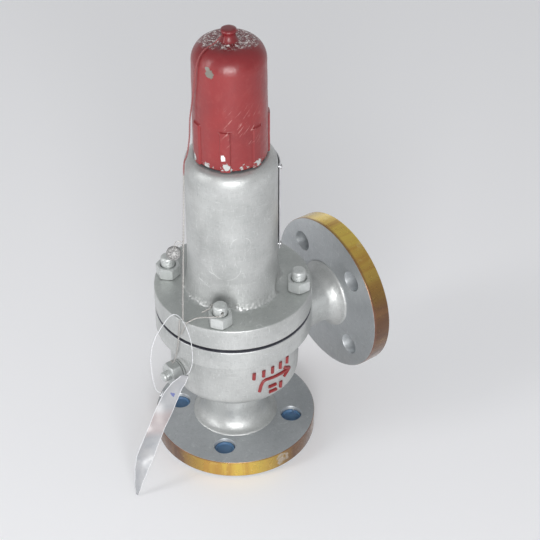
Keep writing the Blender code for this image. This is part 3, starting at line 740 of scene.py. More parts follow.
def rim_varnish(name, axis):
    """Turned steel rim under yellow rust-proofing varnish with runs in it; painted highlight makes it gold
    where the light falls and painted shade makes it brown on the sides turned away.
    """
    f = Finish(name, (0.60, 0.36, 0.06), 0.3, 0.75, Coat_Weight=0.6, Coat_Roughness=0.12)
    upright = axis == "Z"
    runs = f.noise(16, 5, 0.6, f.stretched((1, 1, 0.10) if upright else (0.10, 1, 1)), 0.8)
    gold = f.mix(f.ramp(runs, 0.36, 0.62), (0.78, 0.58, 0.10), (0.54, 0.31, 0.06))
    brown = f.mix(f.ramp(runs, 0.40, 0.66), (0.20, 0.095, 0.035), (0.12, 0.05, 0.022))
    # Painted light: gold on the inlet rim's front, towards the front lamp, and on the outlet rim's top; the
    # brown elsewhere is painted shade.
    if upright:
        front = f.vector("DOT_PRODUCT", f.place, (-0.56, -0.83, 0))
        painted_lit_side = f.ramp(f.plus(front, f.times(runs, 0.03)), 0.066, 0.084)
        edge = f.ramp(f.coordinate("Z"), 0.0163, 0.0176)
    else:
        painted_lit_side = f.ramp(f.plus(f.coordinate("Z"), f.times(runs, 0.03)), 0.140, 0.185)
        edge = f.ramp(f.coordinate("X"), 0.1008, 0.0992)
    colour = f.mix(painted_lit_side, brown, gold)
    # The pale patches are strongest on the painted lit side, so they are partly painted highlight.
    pale = f.times(f.ramp(f.noise(11, 5, 0.65), 0.56, 0.74), f.blend(painted_lit_side, 0.12, 0.75))
    colour = f.mix(pale, colour, (0.78, 0.62, 0.22))
    bare = f.ramp(f.noise(21, 6, 0.6), 0.64, 0.68)
    colour = f.mix(f.times(bare, 0.85), colour, (0.46, 0.40, 0.33))
    f.colour(f.mix(f.times(edge, 0.7), colour, (0.20, 0.085, 0.05)))
    f.rough_between(0.22, 0.42, 4, 5, 0.6)
    lines = f.noise(0.5, 2, 0.5, f.stretched((0.06, 0.06, 1) if upright else (1, 0.06, 0.06)))
    f.bump(lines, 0.05, 0.5)
    f.bump(f.noise(6, 3), 0.12, 0.4)
    return f.mat


def turned_steel(name, colour=(0.50, 0.50, 0.51), roughness=0.28):
    """Machined steel with fine tool lines across its axis."""
    f = Finish(name, colour, roughness, 1.0)
    lines = f.noise(0.35, 2, 0.5, f.stretched((0.05, 0.05, 1)))
    f.colour(f.mix(f.ramp(f.noise(8, 4), 0.3, 0.7), colour, tuple(c * 0.72 for c in colour)))
    f.rough_between(roughness - 0.06, roughness + 0.12, 3, 4)
    f.bump(lines, 0.03, 0.5)
    return f.mat


def spring_steel(name):
    """Black oiled spring wire with rubbed patches."""
    f = Finish(name, (0.045, 0.045, 0.05), 0.38, 0.8)
    rubbed = f.ramp(f.noise(5, 6, 0.65), 0.60, 0.70)
    f.colour(f.mix(f.times(rubbed, 0.6), (0.045, 0.045, 0.05), (0.28, 0.27, 0.26)))
    f.rough_between(0.3, 0.5, 2, 4)
    f.bump(f.noise(0.8, 4, 0.6), 0.05, 0.5)
    return f.mat


def gasket_sheet(name):
    """Grey-black graphite sheet with a fine fibrous grain."""
    f = Finish(name, (0.035, 0.035, 0.038), 0.8)
    f.colour(f.mix(f.noise(0.8, 5, 0.7), (0.025, 0.025, 0.028), (0.07, 0.07, 0.075)))
    f.bump(f.noise(0.5, 4, 0.7), 0.08, 0.6)
    return f.mat


def seal_wire_metal(name):
    """Galvanised seal wire; the part that was painted with the cap is dull red."""
    f = Finish(name, (0.52, 0.51, 0.49), 0.36, 0.85)
    height = f.coordinate("Z")
    painted = f.ramp(f.plus(height, f.times(f.noise(4, 3), 0.012)), 0.286, 0.290)
    grain = f.mix(f.noise(2.5, 4), (0.62, 0.60, 0.57), (0.38, 0.37, 0.36))
    f.colour(f.mix(painted, grain, (0.30, 0.075, 0.075)))
    f.set("Metallic", f.blend(painted, 0.85, 0.1))
    f.rough_between(0.28, 0.5, 1.2, 3)
    return f.mat


def pressed_lead(name):
    f = Finish(name, (0.42, 0.42, 0.42), 0.5, 0.7)
    f.colour(f.mix(f.noise(2.4, 6, 0.7), (0.36, 0.355, 0.35), (0.17, 0.17, 0.17)))
    f.rough_between(0.4, 0.62, 1.5, 4)
    f.bump(f.noise(1.1, 5, 0.65), 0.22, 0.7)
    return f.mat


def plate_metal(name):
    """Rolled plate: brushed face, slightly tarnished."""
    f = Finish(name, (0.52, 0.52, 0.53), 0.34, 0.9)
    brushed = f.noise(0.5, 2, 0.5, f.stretched((1, 1, 0.05)))
    f.colour(f.mix(f.ramp(f.noise(14, 4), 0.35, 0.7), (0.58, 0.58, 0.59), (0.40, 0.40, 0.42)))
    f.set("Roughness", f.ramp(brushed, 0.3, 0.7, 0.26, 0.44))
    f.bump(brushed, 0.02, 0.5)
    return f.mat


def blue_plastic(name):
    """Soft moulded polyethylene, a little milky, with a faint flow grain."""
    f = Finish(name, (0.10, 0.20, 0.34), 0.42, 0.0, Subsurface_Weight=0.15, Subsurface_Scale=0.002)
    f.colour(f.mix(f.noise(7, 4), (0.11, 0.22, 0.38), (0.075, 0.155, 0.28)))
    f.rough_between(0.34, 0.5, 2, 4)
    f.bump(f.noise(1.4, 4), 0.05, 0.4)
    return f.mat


def clear_nylon(name):
    f = Finish(name, (0.74, 0.75, 0.77), 0.25, 0.0, Transmission_Weight=0.12, IOR=1.5)
    f.rough_between(0.2, 0.34, 3, 3)
    f.bump(f.noise(2.0, 3), 0.03, 0.4)
    return f.mat


def tag_paper(name):
    """The printed slip seen through its plastic sleeve: white with a faint pink band and a blue smudge."""
    f = Finish(name, (0.52, 0.52, 0.53), 0.3, 0.0, Coat_Weight=0.45, Coat_Roughness=0.25)
    height = f.coordinate("Z")
    band = f.times(f.ramp(height, 0.050, 0.056), f.ramp(height, 0.074, 0.068))
    base = f.mix(f.ramp(f.noise(12, 4), 0.35, 0.7), (0.36, 0.36, 0.37), (0.27, 0.28, 0.30))
    base = f.mix(f.times(band, 0.35), base, (0.40, 0.27, 0.25))
    smudge = spot(f, (-0.0735, -0.0160, 0.0845), 0.0019, 1.5)
    f.colour(f.mix(smudge, base, (0.10, 0.12, 0.30)))
    f.rough_between(0.28, 0.5, 5, 4)
    f.bump(f.noise(7, 3), 0.35, 0.5)
    return f.mat


MATS = {
    "silver": silver_paint("silver_paint"),
    "silver_barrel": silver_paint("silver_paint_barrel", 0.13, scuffs=True),
    "silver_flange": silver_paint("silver_paint_flange", 0.09, (0.48, 0.50, 0.515), (0.40, 0.42, 0.435)),
    # Painted shade: a slightly darker copy of the barrel's paint for the upward faces of the bonnet flange.
    "silver_cover_shaded": silver_paint("silver_paint_cover_shaded", 0.09, (0.50, 0.52, 0.505), (0.40, 0.42, 0.41)),
    "silver_fastener": silver_paint("silver_paint_fastener", 0.05, (0.60, 0.62, 0.61), (0.46, 0.48, 0.475)),
    # Painted shade: a dark copy of the paint for the faces in the 3 mm gap between the body's and the
    # bonnet's flanges.
    "joint": silver_paint("gap_shade_face", 0.05, (0.20, 0.20, 0.235), (0.12, 0.12, 0.15)),
    "red": red_paint("red_paint"),
    "mark_red": red_paint("red_mark_paint", cap=False),
    "rim_inlet": rim_varnish("rim_varnish_inlet", "Z"),
    "rim_outlet": rim_varnish("rim_varnish_outlet", "X"),
    "steel": turned_steel("turned_steel"),
    "spring": spring_steel("spring_steel"),
    "gasket": gasket_sheet("gasket_sheet"),
    "wire": seal_wire_metal("seal_wire"),
    "lead": pressed_lead("pressed_lead"),
    "plate": plate_metal("nameplate_metal"),
    "blue": blue_plastic("blue_plastic"),
    "nylon": clear_nylon("clear_nylon"),
    "paper": tag_paper("sleeved_paper"),
}


def fit(piece, body, slot, *nodes):
    """The piece rides on a body and stands for these CAD nodes; the slot is not used."""
    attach(piece, body)
    if nodes:
        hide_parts(*nodes)
    return piece


def add_mesh(name, bm, mats, body, slot, *nodes, sharp=32):
    """Makes a mesh piece in the named materials and fits it to its body."""
    fit(make_object(name, bm, [MATS[mat] for mat in mats], sharp), body, slot, *nodes)


def add_wire(name, paths, radius, mat, sides, body, slot, *nodes):
    """Makes a wire piece in the named material and fits it to its body."""
    fit(wire(name, paths, radius, MATS[mat], sides), body, slot, *nodes)


# ---------------------------------------------------------------- the castings

def pipe_flange():
    """A drilled flange lying on its raised face, with a soft edge all round."""
    outline = rounded([(BORE, 0), (RAISED_R, 0, 0.4), (RAISED_R, RAISED_T), (FLANGE_R, RAISED_T, 0.8),
                       (FLANGE_R, FLANGE_T, 0.9), (BORE, FLANGE_T)])
    holes = []
    for k in range(4):
        hole = drill(BOLT_HOLE_R, RAISED_T, FLANGE_T, 0.5, 48)
        holes.append(moved(hole, polar(math.radians(45 + 90 * k), BOLT_CIRCLE)))
    return cut(lathe(outline, 160), joined(holes))


def paint_flange(bm, rim_index, face_index):
    """The rim's faces take the varnish, the rest of the flange its own grey coat."""
    for face in bm.faces:
        centre = face.calc_center_median()
        radius = math.hypot(centre.x, centre.y) / MM
        rim = radius > FLANGE_R - 0.55 and abs(face.normal.z) < 0.8
        face.material_index = rim_index if rim else face_index


def make_body():
    """Bowl and necks as one soft casting, with the two drilled flanges."""
    fillet = arc((HUB_R, 34), (HUB_R - NECK_R, 15), -90, -180, 12)
    underside = arc((BOWL_R - 9, 77), (9, 9), -90, 0, 8)
    outline = [(0, FLANGE_T - 1), (HUB_R, FLANGE_T - 1), (HUB_R, FLANGE_T + 0.9), *fillet, (NECK_R, 60),
               (28.2, 64), (31, 66.8), (36, 68), *underside, (BOWL_R, 116), (56.2, 119), (57.6, 120.6),
               (57.6, 126), (0, 126)]
    back = OUTLET_FACE - FLANGE_T
    side = [(0, 30), (OUTLET_HUB_R, 30), (OUTLET_HUB_R, 49), (26.5, 54), (23.6, 60), (22, 68), (21.4, 78),
            (22, 86), (24.6, 92), (OUTLET_HUB_R, 96), (31, 96.8), (31, back + 1), (0, back + 1)]
    side = moved(lathe(fine(side, 2), 96), (0, 0, OUTLET_Z), TO_X)
    boss = lathe([(0, 46), (13, 46), (13, 54.5), (12, 56), (0, 56)], 64)
    boss = moved(boss, (0, 0, LOCK_Z), TO_MINUS_X)
    corner = arc((CHAMBER_R - 6, 82), (6, 6), -90, 0, 5)
    inside = [(0, 10), (BORE, 10), (BORE, 50), (19.3, 50), (19.3, 76), *corner, (CHAMBER_R, 124),
              (CHAMBER_R, 130), (0, 130)]
    bore = moved(rod(BORE, 36, 130, 64), (0, 0, OUTLET_Z), TO_X)
    hole = moved(rod(5.3, 40, 58, 32), (0, 0, LOCK_Z), TO_MINUS_X)
    steps = [("UNION", side), ("UNION", boss), ("DIFFERENCE", lathe(inside, 96)),
             ("DIFFERENCE", joined([bore, hole]))]
    core = combined(lathe(fine(outline, 3), 144), steps, voxel=1.15, smooth=7)
    roughen(core, 0.30, 16)
    roughen(core, 0.10, 3.5, 4)

    mats = ["silver", "rim_inlet", "rim_outlet", "silver_flange", "joint"]
    rim = rounded([(CHAMBER_R, 123.5), (56.4, 119.7), (COVER_R, 120.2, 0.9), (COVER_R, BODY_TOP, 1.2),
                   (GASKET_SEAT_R, BODY_TOP), (GASKET_SEAT_R, GASKET_SEAT_Z), (41, GASKET_SEAT_Z), (41, 127)])
    rim = lathe(fine(rim, 2), 192)
    roughen(rim, 0.16, 12, 3)
    # The body flange's top face, in the gap under the bonnet, takes the painted gap shade.
    for face in rim.faces:
        if face.normal.z > 0.9 and face.calc_center_median().z > (BODY_TOP - 0.6) * MM:
            face.material_index = mats.index("joint")

    flanges = []
    for edge in ("rim_inlet", "rim_outlet"):
        flange = pipe_flange()
        paint_flange(flange, mats.index(edge), mats.index("silver_flange"))
        flanges.append(flange)
    moved(flanges[1], (OUTLET_FACE, 0, OUTLET_Z), TO_MINUS_X)
    bm = joined([core, rim, *flanges])
    add_mesh("valve_body_casting", bm, mats, "valve_body", "silver_paint", "body", sharp=40)


def bonnet_shape(angle, r, z):
    """Carves the four smooth spot faces out of the barrel's foot and cuts the collar's thread."""
    if z > LIP_TOP + 0.5 and r > 20:
        return thread(2.0, 0.7, LIP_TOP + 1.5, COLLAR_TOP - 0.5)(angle, r, z)
    if r < 30.5 or not COVER_TOP + 0.2 <= z <= POCKET_TOP:
        return r, z
    off = angle_from(angle, math.radians(45), TAU / 4)
    reach = POCKET_R ** 2 - (STUD_CIRCLE * math.sin(off)) ** 2
    if reach <= 0 or math.cos(off) < 0:
        return r, z
    wall = STUD_CIRCLE * math.cos(off) - math.sqrt(reach)
    wall += 7 * smoothstep(168, 184, z) + max(0, COVER_TOP + 1.2 - z) * 2
    return soft_min(r, wall, 1.5), z


def make_bonnet():
    """The tall bonnet: flange, rough bead at the barrel's foot, round shoulder and threaded collar."""
    outer = rounded([(29.5, BONNET_LOW), (COVER_R, BONNET_LOW, 0.9), (COVER_R, COVER_TOP, 1.4),
                     (43.5, COVER_TOP), (41.6, 162.5), (40.6, 163.8), (39.7, 167), (38.4, 176),
                     (BARREL_R, 187)])
    shoulder = arc((SHOULDER_R, SHOULDER_LOW), (BARREL_R - SHOULDER_R, 10.2), 0, 82, 12)
    top = [*shoulder, (SHOULDER_R, LIP_TOP - 0.3), (30.6, LIP_TOP), (25.6, LIP_TOP),
           (COLLAR_R, LIP_TOP + 0.4), (COLLAR_R, COLLAR_TOP - 0.8), (COLLAR_R - 0.8, COLLAR_TOP),
           (COLLAR_BORE, COLLAR_TOP)]
    inner = [(COLLAR_BORE, 281), (20, 281), *arc((20, 272), (9.5, 9), 90, 0, 8)]
    bm = lathe(fine(outer + top + inner, 1.5), 300, bonnet_shape)
    bm.normal_update()
    for v in bm.verts:
        radius = math.hypot(v.co.x, v.co.y) / MM
        if FOOT_BEAD[0] < v.co.z / MM < FOOT_BEAD[1] and 33 < radius < 43.4:
            v.co += v.normal * (noise.noise(v.co / (1.9 * MM)) * 0.85 * MM)
    roughen(bm, 0.22, 15, 2)
    roughen(bm, 0.05, 3, 7)
    holes = [moved(rod(6.4, BONNET_LOW - 2, COVER_TOP + 3, 40), centre) for centre in STUD_CENTRES]
    bm = cut(bm, joined(holes))
    mats = ["silver_barrel", "silver_cover_shaded", "joint"]
    # The flange's underside, in the gap over the body, takes the painted gap shade.
    for face in bm.faces:
        z = face.calc_center_median().z / MM
        if z < BONNET_LOW + 0.6 and face.normal.z < -0.9:
            face.material_index = mats.index("joint")
        # The flange's upward faces take the slightly darker copy of the paint, painted shade.
        elif z < COVER_TOP + 1 and face.normal.z > 0.8:
            face.material_index = mats.index("silver_cover_shaded")
    add_mesh("bonnet_casting", bm, mats, "valve_body", "silver_paint", "bonnet", sharp=40)


def cap_shape(angle, r, z):
    """Raises the seven grip ribs out of the cap's foot."""
    if r < 26 or z > 332:
        return r, z
    off = angle_from(angle, RIB_START, TAU / RIB_COUNT)
    across = abs(r * math.sin(off))
    rib = (1 - smoothstep(3.5, 4.3, across)) * (1 - smoothstep(RIB_TOP + 0.1, RIB_TOP + 0.8, z))
    lip = (1 - smoothstep(4.5, 5.6, across)) * (1 - smoothstep(0.4, 1.0, abs(z - RIB_TOP))) * 0.45
    return r + (RIB_R - r) * max(rib, lip), z


def make_cap():
    """The red cap, thick with paint, with its drilled knob."""
    crown = arc((CAP_CROWN_R, CAP_CROWN_LOW), (CAP_R - CAP_CROWN_R, 16.3), 0, 87, 22)
    ledge = [(CAP_FOOT_R, CAP_LEDGE_Z + 0.2 * i) for i in range(12)]
    outer = [(28.2, CAP_LOW), (CAP_FOOT_R - 0.3, CAP_LOW + 0.4), (CAP_FOOT_R, CAP_LOW + 1.6),
             (CAP_FOOT_R, 300), *ledge]
    knob = [(8.6, 391.3), (7.6, 391.9), (6.7, 393.0), (5.9, 394.6), (5.4, 396.2), (5.3, 397.4), (5.6, 398.4),
            (6.1, 399.2), (6.2, 400.2), (5.9, 401.1), (5.1, 401.6), (3.6, CAP_TOP - 0.2), (0, CAP_TOP - 0.2)]
    inner = [(0, 386), *arc((12, 368), (13, 18), 88, 0, 10), (25, CAP_LOW)]
    bm = lathe(fine(outer + crown + knob, 1.1, False) + fine(inner, 4, False), 360, cap_shape)
    roughen(bm, 0.22, 13, 5)
    roughen(bm, 0.06, 2.5, 9)
    hole = moved(moved(rod(1.25, -9, 9, 24), turn=TO_X), (0, 0, KNOB_HOLE_Z), turned(KNOB_HOLE_TURN))
    add_mesh("cap_casting", cut(bm, hole), ["red"], "cap", "red_paint", "cap", sharp=45)


# ---------------------------------------------------------------- fasteners and fittings

def make_fasteners():
    """The four studs, one of them drilled for its wire, and their nuts."""
    look = [["silver_fastener"], "valve_body", "fastener_silver"]
    for k, centre in enumerate(STUD_CENTRES, start=1):
        end = arc((STUD_R - 2.4, STUD_TOP - 2.4), (2.4, 2.4), 0, 80, 6)
        shank = [(0, STUD_LOW), (STUD_R, STUD_LOW), (STUD_R, STUD_TOP - 2.4), *end, (0, STUD_TOP)]
        stud = lathe(fine(shank, 0.5), 40, thread(1.75, 0.32, 163, STUD_TOP - 1.5))
        roughen(stud, 0.08, 2.0, k)
        if centre.x < 0 and centre.y < 0:
            hole = moved(rod(1.2, -9, 9, 20), turn=TO_X)
            stud = cut(stud, moved(hole, (0, 0, STUD_HOLE_Z), turned(STUD_HOLE_TURN)))
        add_mesh(f"bonnet_stud_{k}_visual", moved(stud, centre), *look, f"bonnet_stud_{k}")
        nut = hexagon(NUT_FLATS, NUT_LOW, NUT_TOP, math.radians(NUT_TURNS[k - 1]))
        nut = cut(nut, drill(6.2, NUT_LOW, NUT_TOP, 1, 40))
        add_mesh(f"bonnet_nut_{k}_visual", moved(nut, centre), *look, f"bonnet_nut_{k}")


def make_lock_screw():
    """The screw through the bowl's wall: a pin up to the ring, a hexagonal head and a threaded stub."""
    low, high = LOCK_HEAD
    pin = [(0, LOCK_PIN), (1.5, LOCK_PIN), (1.5, 40), (3, 42), (4.9, 44), (4.9, low + 1), (0, low + 1)]
    pin = lathe(fine(pin, 0.6), 32, thread(1.5, 0.5, 45, low))
    head = hexagon(19, low, high, math.radians(30))
    stub = [(0, high - 1), (4.5, high - 1), (4.5, LOCK_OUT - 1.2), (3.5, LOCK_OUT), (0, LOCK_OUT)]
    stub = lathe(fine(stub, 0.5), 32, thread(1.5, 0.4, high + 0.2, LOCK_OUT - 0.5))
    bm = moved(joined([pin, head, stub]), (0, 0, LOCK_Z), TO_MINUS_X)
    add_mesh("lock_screw_visual", bm, ["silver_fastener"], "lock_screw", "fastener_silver", "lock_screw")


def make_plugs():
    """Blue push-in plugs: a shallow dish with a rim and a slit for prising it out."""
    flap, neck, step = 10.4, 8.75, RAISED_T - 0.3
    outline = rounded([(0, PLUG_LOW), (flap, PLUG_LOW, 0.3), (flap, step, 0.3), (neck, step),
                       (neck, PLUG_TOP, 0.7), (7.2, PLUG_TOP, 0.5), (6.7, PLUG_TOP - 1.6, 0.5),
                       (0, PLUG_TOP - 1.4)])
    for k in range(1, 5):
        slit = moved(block((3.4, 1.1, 2.4), (7.4, 0, PLUG_TOP - 0.6)), turn=turned(100 * k))
        bm = cut(lathe(fine(outline, 1.5), 56), slit)
        roughen(bm, 0.06, 3, k)
        bm = moved(bm, foot_of(f"inlet_plug_{k}"))
        add_mesh(f"inlet_plug_{k}_visual", bm, ["blue"], "valve_body", "blue_plastic", f"inlet_plug_{k}")


def curved_plate(inner, thick, low, high, first, last, columns, rows, sunk):
    """A plate bent round Z; sunk(distance to the nearest edge, share of the height) gives its dents."""
    bm = bmesh.new()
    sides = []
    for offset in (0.0, thick):
        grid = []
        for i in range(columns + 1):
            angle = first + (last - first) * i / columns
            column = []
            for j in range(rows + 1):
                across = min(i, columns - i) * (last - first) / columns * inner
                along = min(j, rows - j) * (high - low) / rows
                r = inner + offset - (sunk(min(across, along), j / rows) if offset else 0)
                column.append(bm.verts.new(polar(angle, r, low + (high - low) * j / rows) * MM))
            grid.append(column)
        sides.append(grid)
    for grid in sides:
        for a, b in zip(grid, grid[1:]):
            for j in range(rows):
                bm.faces.new((a[j], b[j], b[j + 1], a[j + 1]))
    edges = [[grid[i][0] for i in range(columns)] + grid[columns][:rows]
             + [grid[i][rows] for i in range(columns, 0, -1)] + grid[0][:0:-1] for grid in sides]
    count = len(edges[0])
    for i in range(count):
        n = (i + 1) % count
        bm.faces.new((edges[0][i], edges[0][n], edges[1][n], edges[1][i]))
    bmesh.ops.recalc_face_normals(bm, faces=bm.faces)
    return bm


def make_nameplate():
    """A blank rolled plate bent round the barrel, with a pressed frame, and its domed rivets."""
    def pressed(edge, height):
        line = 0.25 * math.exp(-((edge - 3.2) / 0.5) ** 2)
        groove = 0.18 if edge > 6 and 0.30 < height < 0.34 else 0.0
        return line + groove

    inner, thick = 38.2, 0.8
    outer = inner + thick
    look = [["plate"], "valve_body", "nameplate_metal"]
    first, last = math.radians(-36), math.radians(26)
    plate = curved_plate(inner, thick, *span("nameplate", 2), first, last, 72, 96, pressed)
    add_mesh("nameplate_visual", plate, *look, "nameplate", sharp=50)
    shape = [(0, 35), (1.2, 35), (1.2, outer + 0.1), (2.3, outer + 0.15), (2.3, outer + 0.5),
             (1.7, outer + 1.2), (0.8, outer + 1.5), (0, outer + 1.6)]
    for k in range(1, 5):
        centre = centre_of(f"nameplate_rivet_{k}")
        rivet = moved(lathe(fine(shape, 0.8), 28), (0, 0, centre.z), TO_X)
        rivet = moved(rivet, turn=Matrix.Rotation(math.atan2(centre.y, centre.x), 4, "Z"))
        add_mesh(f"nameplate_rivet_{k}_visual", rivet, *look, f"nameplate_rivet_{k}")


def on_bowl(degrees, z):
    return polar(math.radians(degrees), BOWL_R, z)


def make_flow_mark():
    """The cast flow arrow with plain bars above and below it, picked out in red."""
    strokes = [[(-102, 83), (-100.5, 89), (-98.5, 93), (-96, 94.2), (-67.5, 91.1)],
               [(-75, 96.2), (-67, 91), (-75.4, 86.4)]]
    for k in range(5):
        start = 9 * k - 107
        strokes.append([(start, 98.2 + 0.2 * k), (start + 0.4, 105 + 0.2 * k)])
    strokes += [[(-93, 84.5), (-85, 83.9)], [(-92.6, 78.6), (-84.6, 78)], [(-79, 83.5), (-79.6, 77.4)]]
    paths = []
    for stroke in strokes:
        path = []
        for (a0, z0), (a1, z1) in zip(stroke, stroke[1:]):
            count = max(2, round(abs(a1 - a0) + abs(z1 - z0)))
            path += [on_bowl(a0 + (a1 - a0) * i / count, z0 + (z1 - z0) * i / count) for i in range(count)]
        paths.append(path + [on_bowl(*stroke[-1])])
    add_wire("flow_mark", paths, 1.6, "mark_red", 12, "valve_body", "red_paint")


# ---------------------------------------------------------------- inner parts

def repaint(material, *nodes):
    """Gives CAD nodes that stay visible a material of this scene."""
    for node in nodes:
        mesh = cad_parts[node].data
        mesh.materials.clear()
        mesh.materials.append(MATS[material])


def make_inner_parts():
    """What shows once the cap is off, and finishes for the parts that only show in a cut view."""
    repaint("steel", "nozzle", "adjusting_ring", "valve_disc", "disc_holder", "guide_sleeve", "stem",
            "lower_spring_plate", "upper_spring_plate")
    repaint("gasket", "body_gasket", "bonnet_gasket", "cap_gasket")
    repaint("silver_fastener", "lock_screw_gasket")
    low, high = span("adjusting_screw", 2)
    shape = rounded([(6.5, low), (10.5, low), (12, low + 2), (12, high - 12), (10.3, high - 12),
                     (10.3, high, 0.6), (6.5, high)])
    screw = lathe(fine(shape, 0.6), 64, thread(2.0, 0.8, low + 2, high - 12.5))
    flats = [moved(block((8, 40, 14), (12.8, 0, high - 4.5)), turn=turned(90 * k)) for k in range(4)]
    screw = combined(screw, [("DIFFERENCE", flat) for flat in flats])
    add_mesh("adjusting_screw_visual", screw, ["steel"], "adjusting_screw", "turned_steel", "adjusting_screw")
    low, high = span("adjusting_lock_nut", 2)
    nut = cut(hexagon(36, low, high, 0.0, 2.2), drill(12.3, low, high, 1, 64))
    add_mesh("adjusting_lock_nut_visual", nut, ["steel"], "lock_nut", "turned_steel", "adjusting_lock_nut")


def make_spring():
    """The closed and ground spring, drawn as round wire; its end turns lie close together."""
    wire_r, mean_r, turns, end_pitch, steps = 4.4, 22.0, 6.75, 9.6, 40
    low, high = span("spring", 2)
    low, high = low + 4.5, high - 4.5
    pitch = (high - low - 2 * end_pitch) / (turns - 2)
    path = []
    for i in range(round(turns * steps) + 1):
        turn = i / steps
        in_ends = min(turn, 1) + max(turn - turns + 1, 0)
        height = in_ends * end_pitch + min(max(turn - 1, 0), turns - 2) * pitch
        path.append(polar(TAU * turn, mean_r, low + height))
    add_wire("spring_visual", [path], wire_r, "spring", 16, "valve_body", "spring_steel", "spring")


# ---------------------------------------------------------------- seal, wires and tag

CAP_WIRE = [(8.5, 0.6, 396.2), (5.2, 0.2, 397.6), (-5.2, -0.2, 397.6), (-9.0, -0.4, 395.6),
            (-12.0, -0.4, 393.6), (-15.5, -0.4, 392.4), (-19.5, -0.6, 391.7), (-23.0, -0.5, 390.0),
            (-26.1, -0.6, 387.2), (-28.4, -0.8, 383.7), (-29.9, -0.8, 379.5), (-30.6, -0.3, 374),
            (-30.8, 1.6, 364), (-30.8, 3.8, 352), (-31.0, 6.4, 340), (-31.4, 8.4, 328), (-30.6, 11.2, 311),
            (-32.4, 11.8, 297), (-34.4, 11.4, 292.4), (-37.2, 10.3, 287), (-42.4, 4.2, 262.2),
            (-47.5, -2.0, 237.5), (-52.8, -8.2, 212.8), (-57.9, -14.3, 188.1), (-63.1, -20.5, 163.3)]
STUD_WIRE = [(-64.6, -18.9, 147.5), (-64.0, -20.9, 153), (-63.2, -23.1, 159.8), (-62.4, -25.2, 163.6),
             (-59.8, -27.7, 166.5), (-55.0, -31.7, 170), (-49.2, -40.6, 173.6), (-44.4, -45.6, 175.4),
             (-41.6, -46.6, 176.2), (-40.6, -44.6, 176.3), (-39.0, -39.0, 176.3), (-37.5, -33.5, 176.3),
             (-38.2, -31.4, 176.3), (-41.5, -31.0, 175.8), (-44.6, -32.4, 174.8), (-51.0, -30.6, 172.4)]
LOCK_WIRE = [(-64.5, -18.4, 163.2), (-64.9, -17.7, 160.4), (-65.2, -16.8, 150), (-65.5, -15.6, 138),
             (-65.9, -12.6, 124), (-64.4, -5.6, 109), (-62.2, 0.4, 102.3), (-61.0, 4.4, 101.6)]
TAILS = [[(-51.0, -5.0, 227.6), (-53.4, -3.2, 228.6), (-55.6, -1.8, 227.2), (-57.0, -1.4, 222)],
         [(-50.4, -5.2, 224.2), (-52.4, -4.2, 225.6), (-54.8, -2.6, 224.4), (-56.2, -1.6, 220.5)]]
LOOP_ROUTE = [(-81.5, -11.0, 86.0), (-85.9, -9.8, 93.0), (-88.0, -8.8, 112), (-87.4, -8.2, 130),
              (-83.0, -8.2, 144.5), (-74.4, -8.6, 156.5), (-68.4, -10.2, 163.4), (-65.4, -15.0, 166.4),
              (-65.4, -24.5, 166.4), (-66.2, -32.4, 161.6), (-63.4, -32.4, 148), (-61.8, -31.0, 132),
              (-61.6, -29.0, 120), (-62.2, -25.6, 110.5), (-63.1, -22.9, 106.4)]


def make_wires():
    """The three seal wires, each two strands twisted together, and the cut ends at the lead seal."""
    for name, route, lay, loosen, body in (("cap", CAP_WIRE, 5.0, 0.9, "cap"),
                                           ("stud", STUD_WIRE, 4.0, 0.8, "valve_body"),
                                           ("lock_screw", LOCK_WIRE, 4.5, 0.9, "valve_body")):
        node = f"seal_wire_{name}"
        add_wire(f"{node}_visual", twisted(route, 0.3, lay, loosen), 0.29, "wire", 8, body, "seal_wire", node)
    tails = [smooth_route(route, 0.8) for route in TAILS]
    add_wire("lead_seal_tail_visual", tails, 0.3, "wire", 8, "cap", "seal_wire", "lead_seal_tail")


def make_lead_seal():
    """A pressed lead bead: a raised rim, a plain ring and short ticks on both faces."""
    def stamped(angle, r, z):
        if abs(z) > 1 and 2.2 < r < 4.2:
            z -= math.copysign(0.28 * (math.cos(9 * angle) > 0.2), z)
        return r * (1 + 0.03 * math.sin(2 * angle + 0.6)), z

    outline = rounded([(0, -1.55), (4.4, -1.55, 0.2), (4.7, -2, 0.2), (6, -1.4, 0.6), (6, 1.4, 0.6),
                       (4.7, 2, 0.2), (4.4, 1.55, 0.2), (0, 1.55)])
    bm = lathe(fine(outline, 0.3), 72, stamped)
    roughen(bm, 0.22, 2.2, 3)
    facing = Vector((-0.5, -0.7, 0.5)).to_track_quat("Z", "Y").to_matrix().to_4x4()
    bm = moved(bm, centre_of("lead_seal"), facing)
    add_mesh("lead_seal_visual", bm, ["lead"], "cap", "lead", "lead_seal", sharp=60)


# The slip's centre line from top to bottom: place, width and the angle that it faces
TAG_STATIONS = [((-63.6, -21.4, 104.5), 6.0, 27), ((-66.8, -18.6, 97.5), 11.0, 27),
                ((-70.5, -16.0, 90.5), 13.5, 27), ((-75.4, -15.4, 82.5), 14.0, 30),
                ((-83.5, -16.6, 70.5), 12.5, 42), ((-93.0, -18.6, 57.0), 14.0, 24),
                ((-102.5, -20.6, 42.0), 14.5, 25), ((-110.8, -22.6, 27.5), 11.0, 52),
                ((-116.6, -24.8, 13.0), 7.0, 60), ((-119.8, -26.4, 1.2), 2.0, 60)]


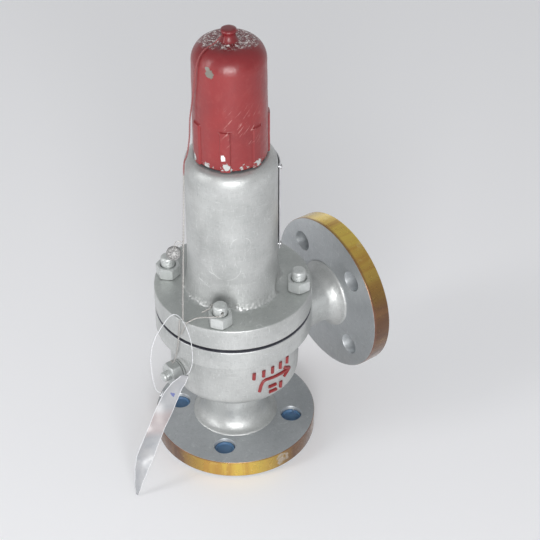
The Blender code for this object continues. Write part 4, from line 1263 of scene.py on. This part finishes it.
def make_tag():
    """The slip in its sleeve: a flat curling strip, about 0.6 mm thick, that narrows to the point it stands
    on.
    """
    centres = smooth_route([c for c, _, _ in TAG_STATIONS], 1.6)
    last = len(TAG_STATIONS) - 1
    half_thick = 0.28
    columns = 12
    bm = bmesh.new()
    rings = []
    for i, centre in enumerate(centres):
        at = i / (len(centres) - 1) * last
        k = min(int(at), last - 1)
        t = smoothstep(0, 1, at - k)
        width, degrees = [a * (1 - t) + b * t for a, b in zip(TAG_STATIONS[k][1:], TAG_STATIONS[k + 1][1:])]
        angle = -math.radians(degrees)
        across = Vector((math.cos(angle), math.sin(angle), -0.35)).normalized() * width / 2
        through = across.cross(Vector((-0.45, -0.1, -0.9))).normalized()
        points = []
        for side in (-1, 1):
            for j in range(columns + 1):
                u = 2 * j / columns - 1
                curl = 1.1 * (1 - u * u) * math.sin(at * 1.4) * width / 14
                points.append(bm.verts.new((centre + across * u + through * (side * half_thick + curl)) * MM))
        rings.append(points[:columns + 1] + points[:columns:-1])
    size = len(rings[0])
    for a, b in zip(rings, rings[1:]):
        for j in range(size):
            bm.faces.new((a[j], a[(j + 1) % size], b[(j + 1) % size], b[j]))
    bm.faces.new(rings[0])
    bm.faces.new(rings[-1])
    bmesh.ops.recalc_face_normals(bm, faces=bm.faces)
    for v in bm.verts:
        v.co.z = max(v.co.z, 0.0002)
    edges = []
    for a, b in ((0, -1), (columns, columns + 1)):
        edges.append([(ring[a].co + ring[b].co) / 2 / MM for ring in rings[1:-5]])
    add_mesh("tag_visual", bm, ["paper"], "tag", "tag_sleeve", "tag", sharp=60)
    add_wire("tag_welded_edges", edges, 0.36, "nylon", 8, "tag", "nylon")
    loop = smooth_route(LOOP_ROUTE, 1.0)
    add_wire("tag_loop_visual", [loop], 0.32, "nylon", 12, "tag", "nylon", "tag_loop")
    knot = []
    for i in range(37):
        t = TAU * i / 40
        bow = Vector((2.2 * math.cos(t), 1.2 * math.sin(2 * t), 2.0 * math.sin(t)))
        knot.append(Vector((-80.6, -11.4, 84.6)) + bow)
    add_wire("tag_loop_knot", [knot], 0.5, "nylon", 10, "tag", "nylon")


make_camera()
make_stage()
make_body()
make_bonnet()
make_cap()
make_fasteners()
make_lock_screw()
make_plugs()
make_nameplate()
make_flow_mark()
make_inner_parts()
make_spring()
make_wires()
make_lead_seal()
make_tag()
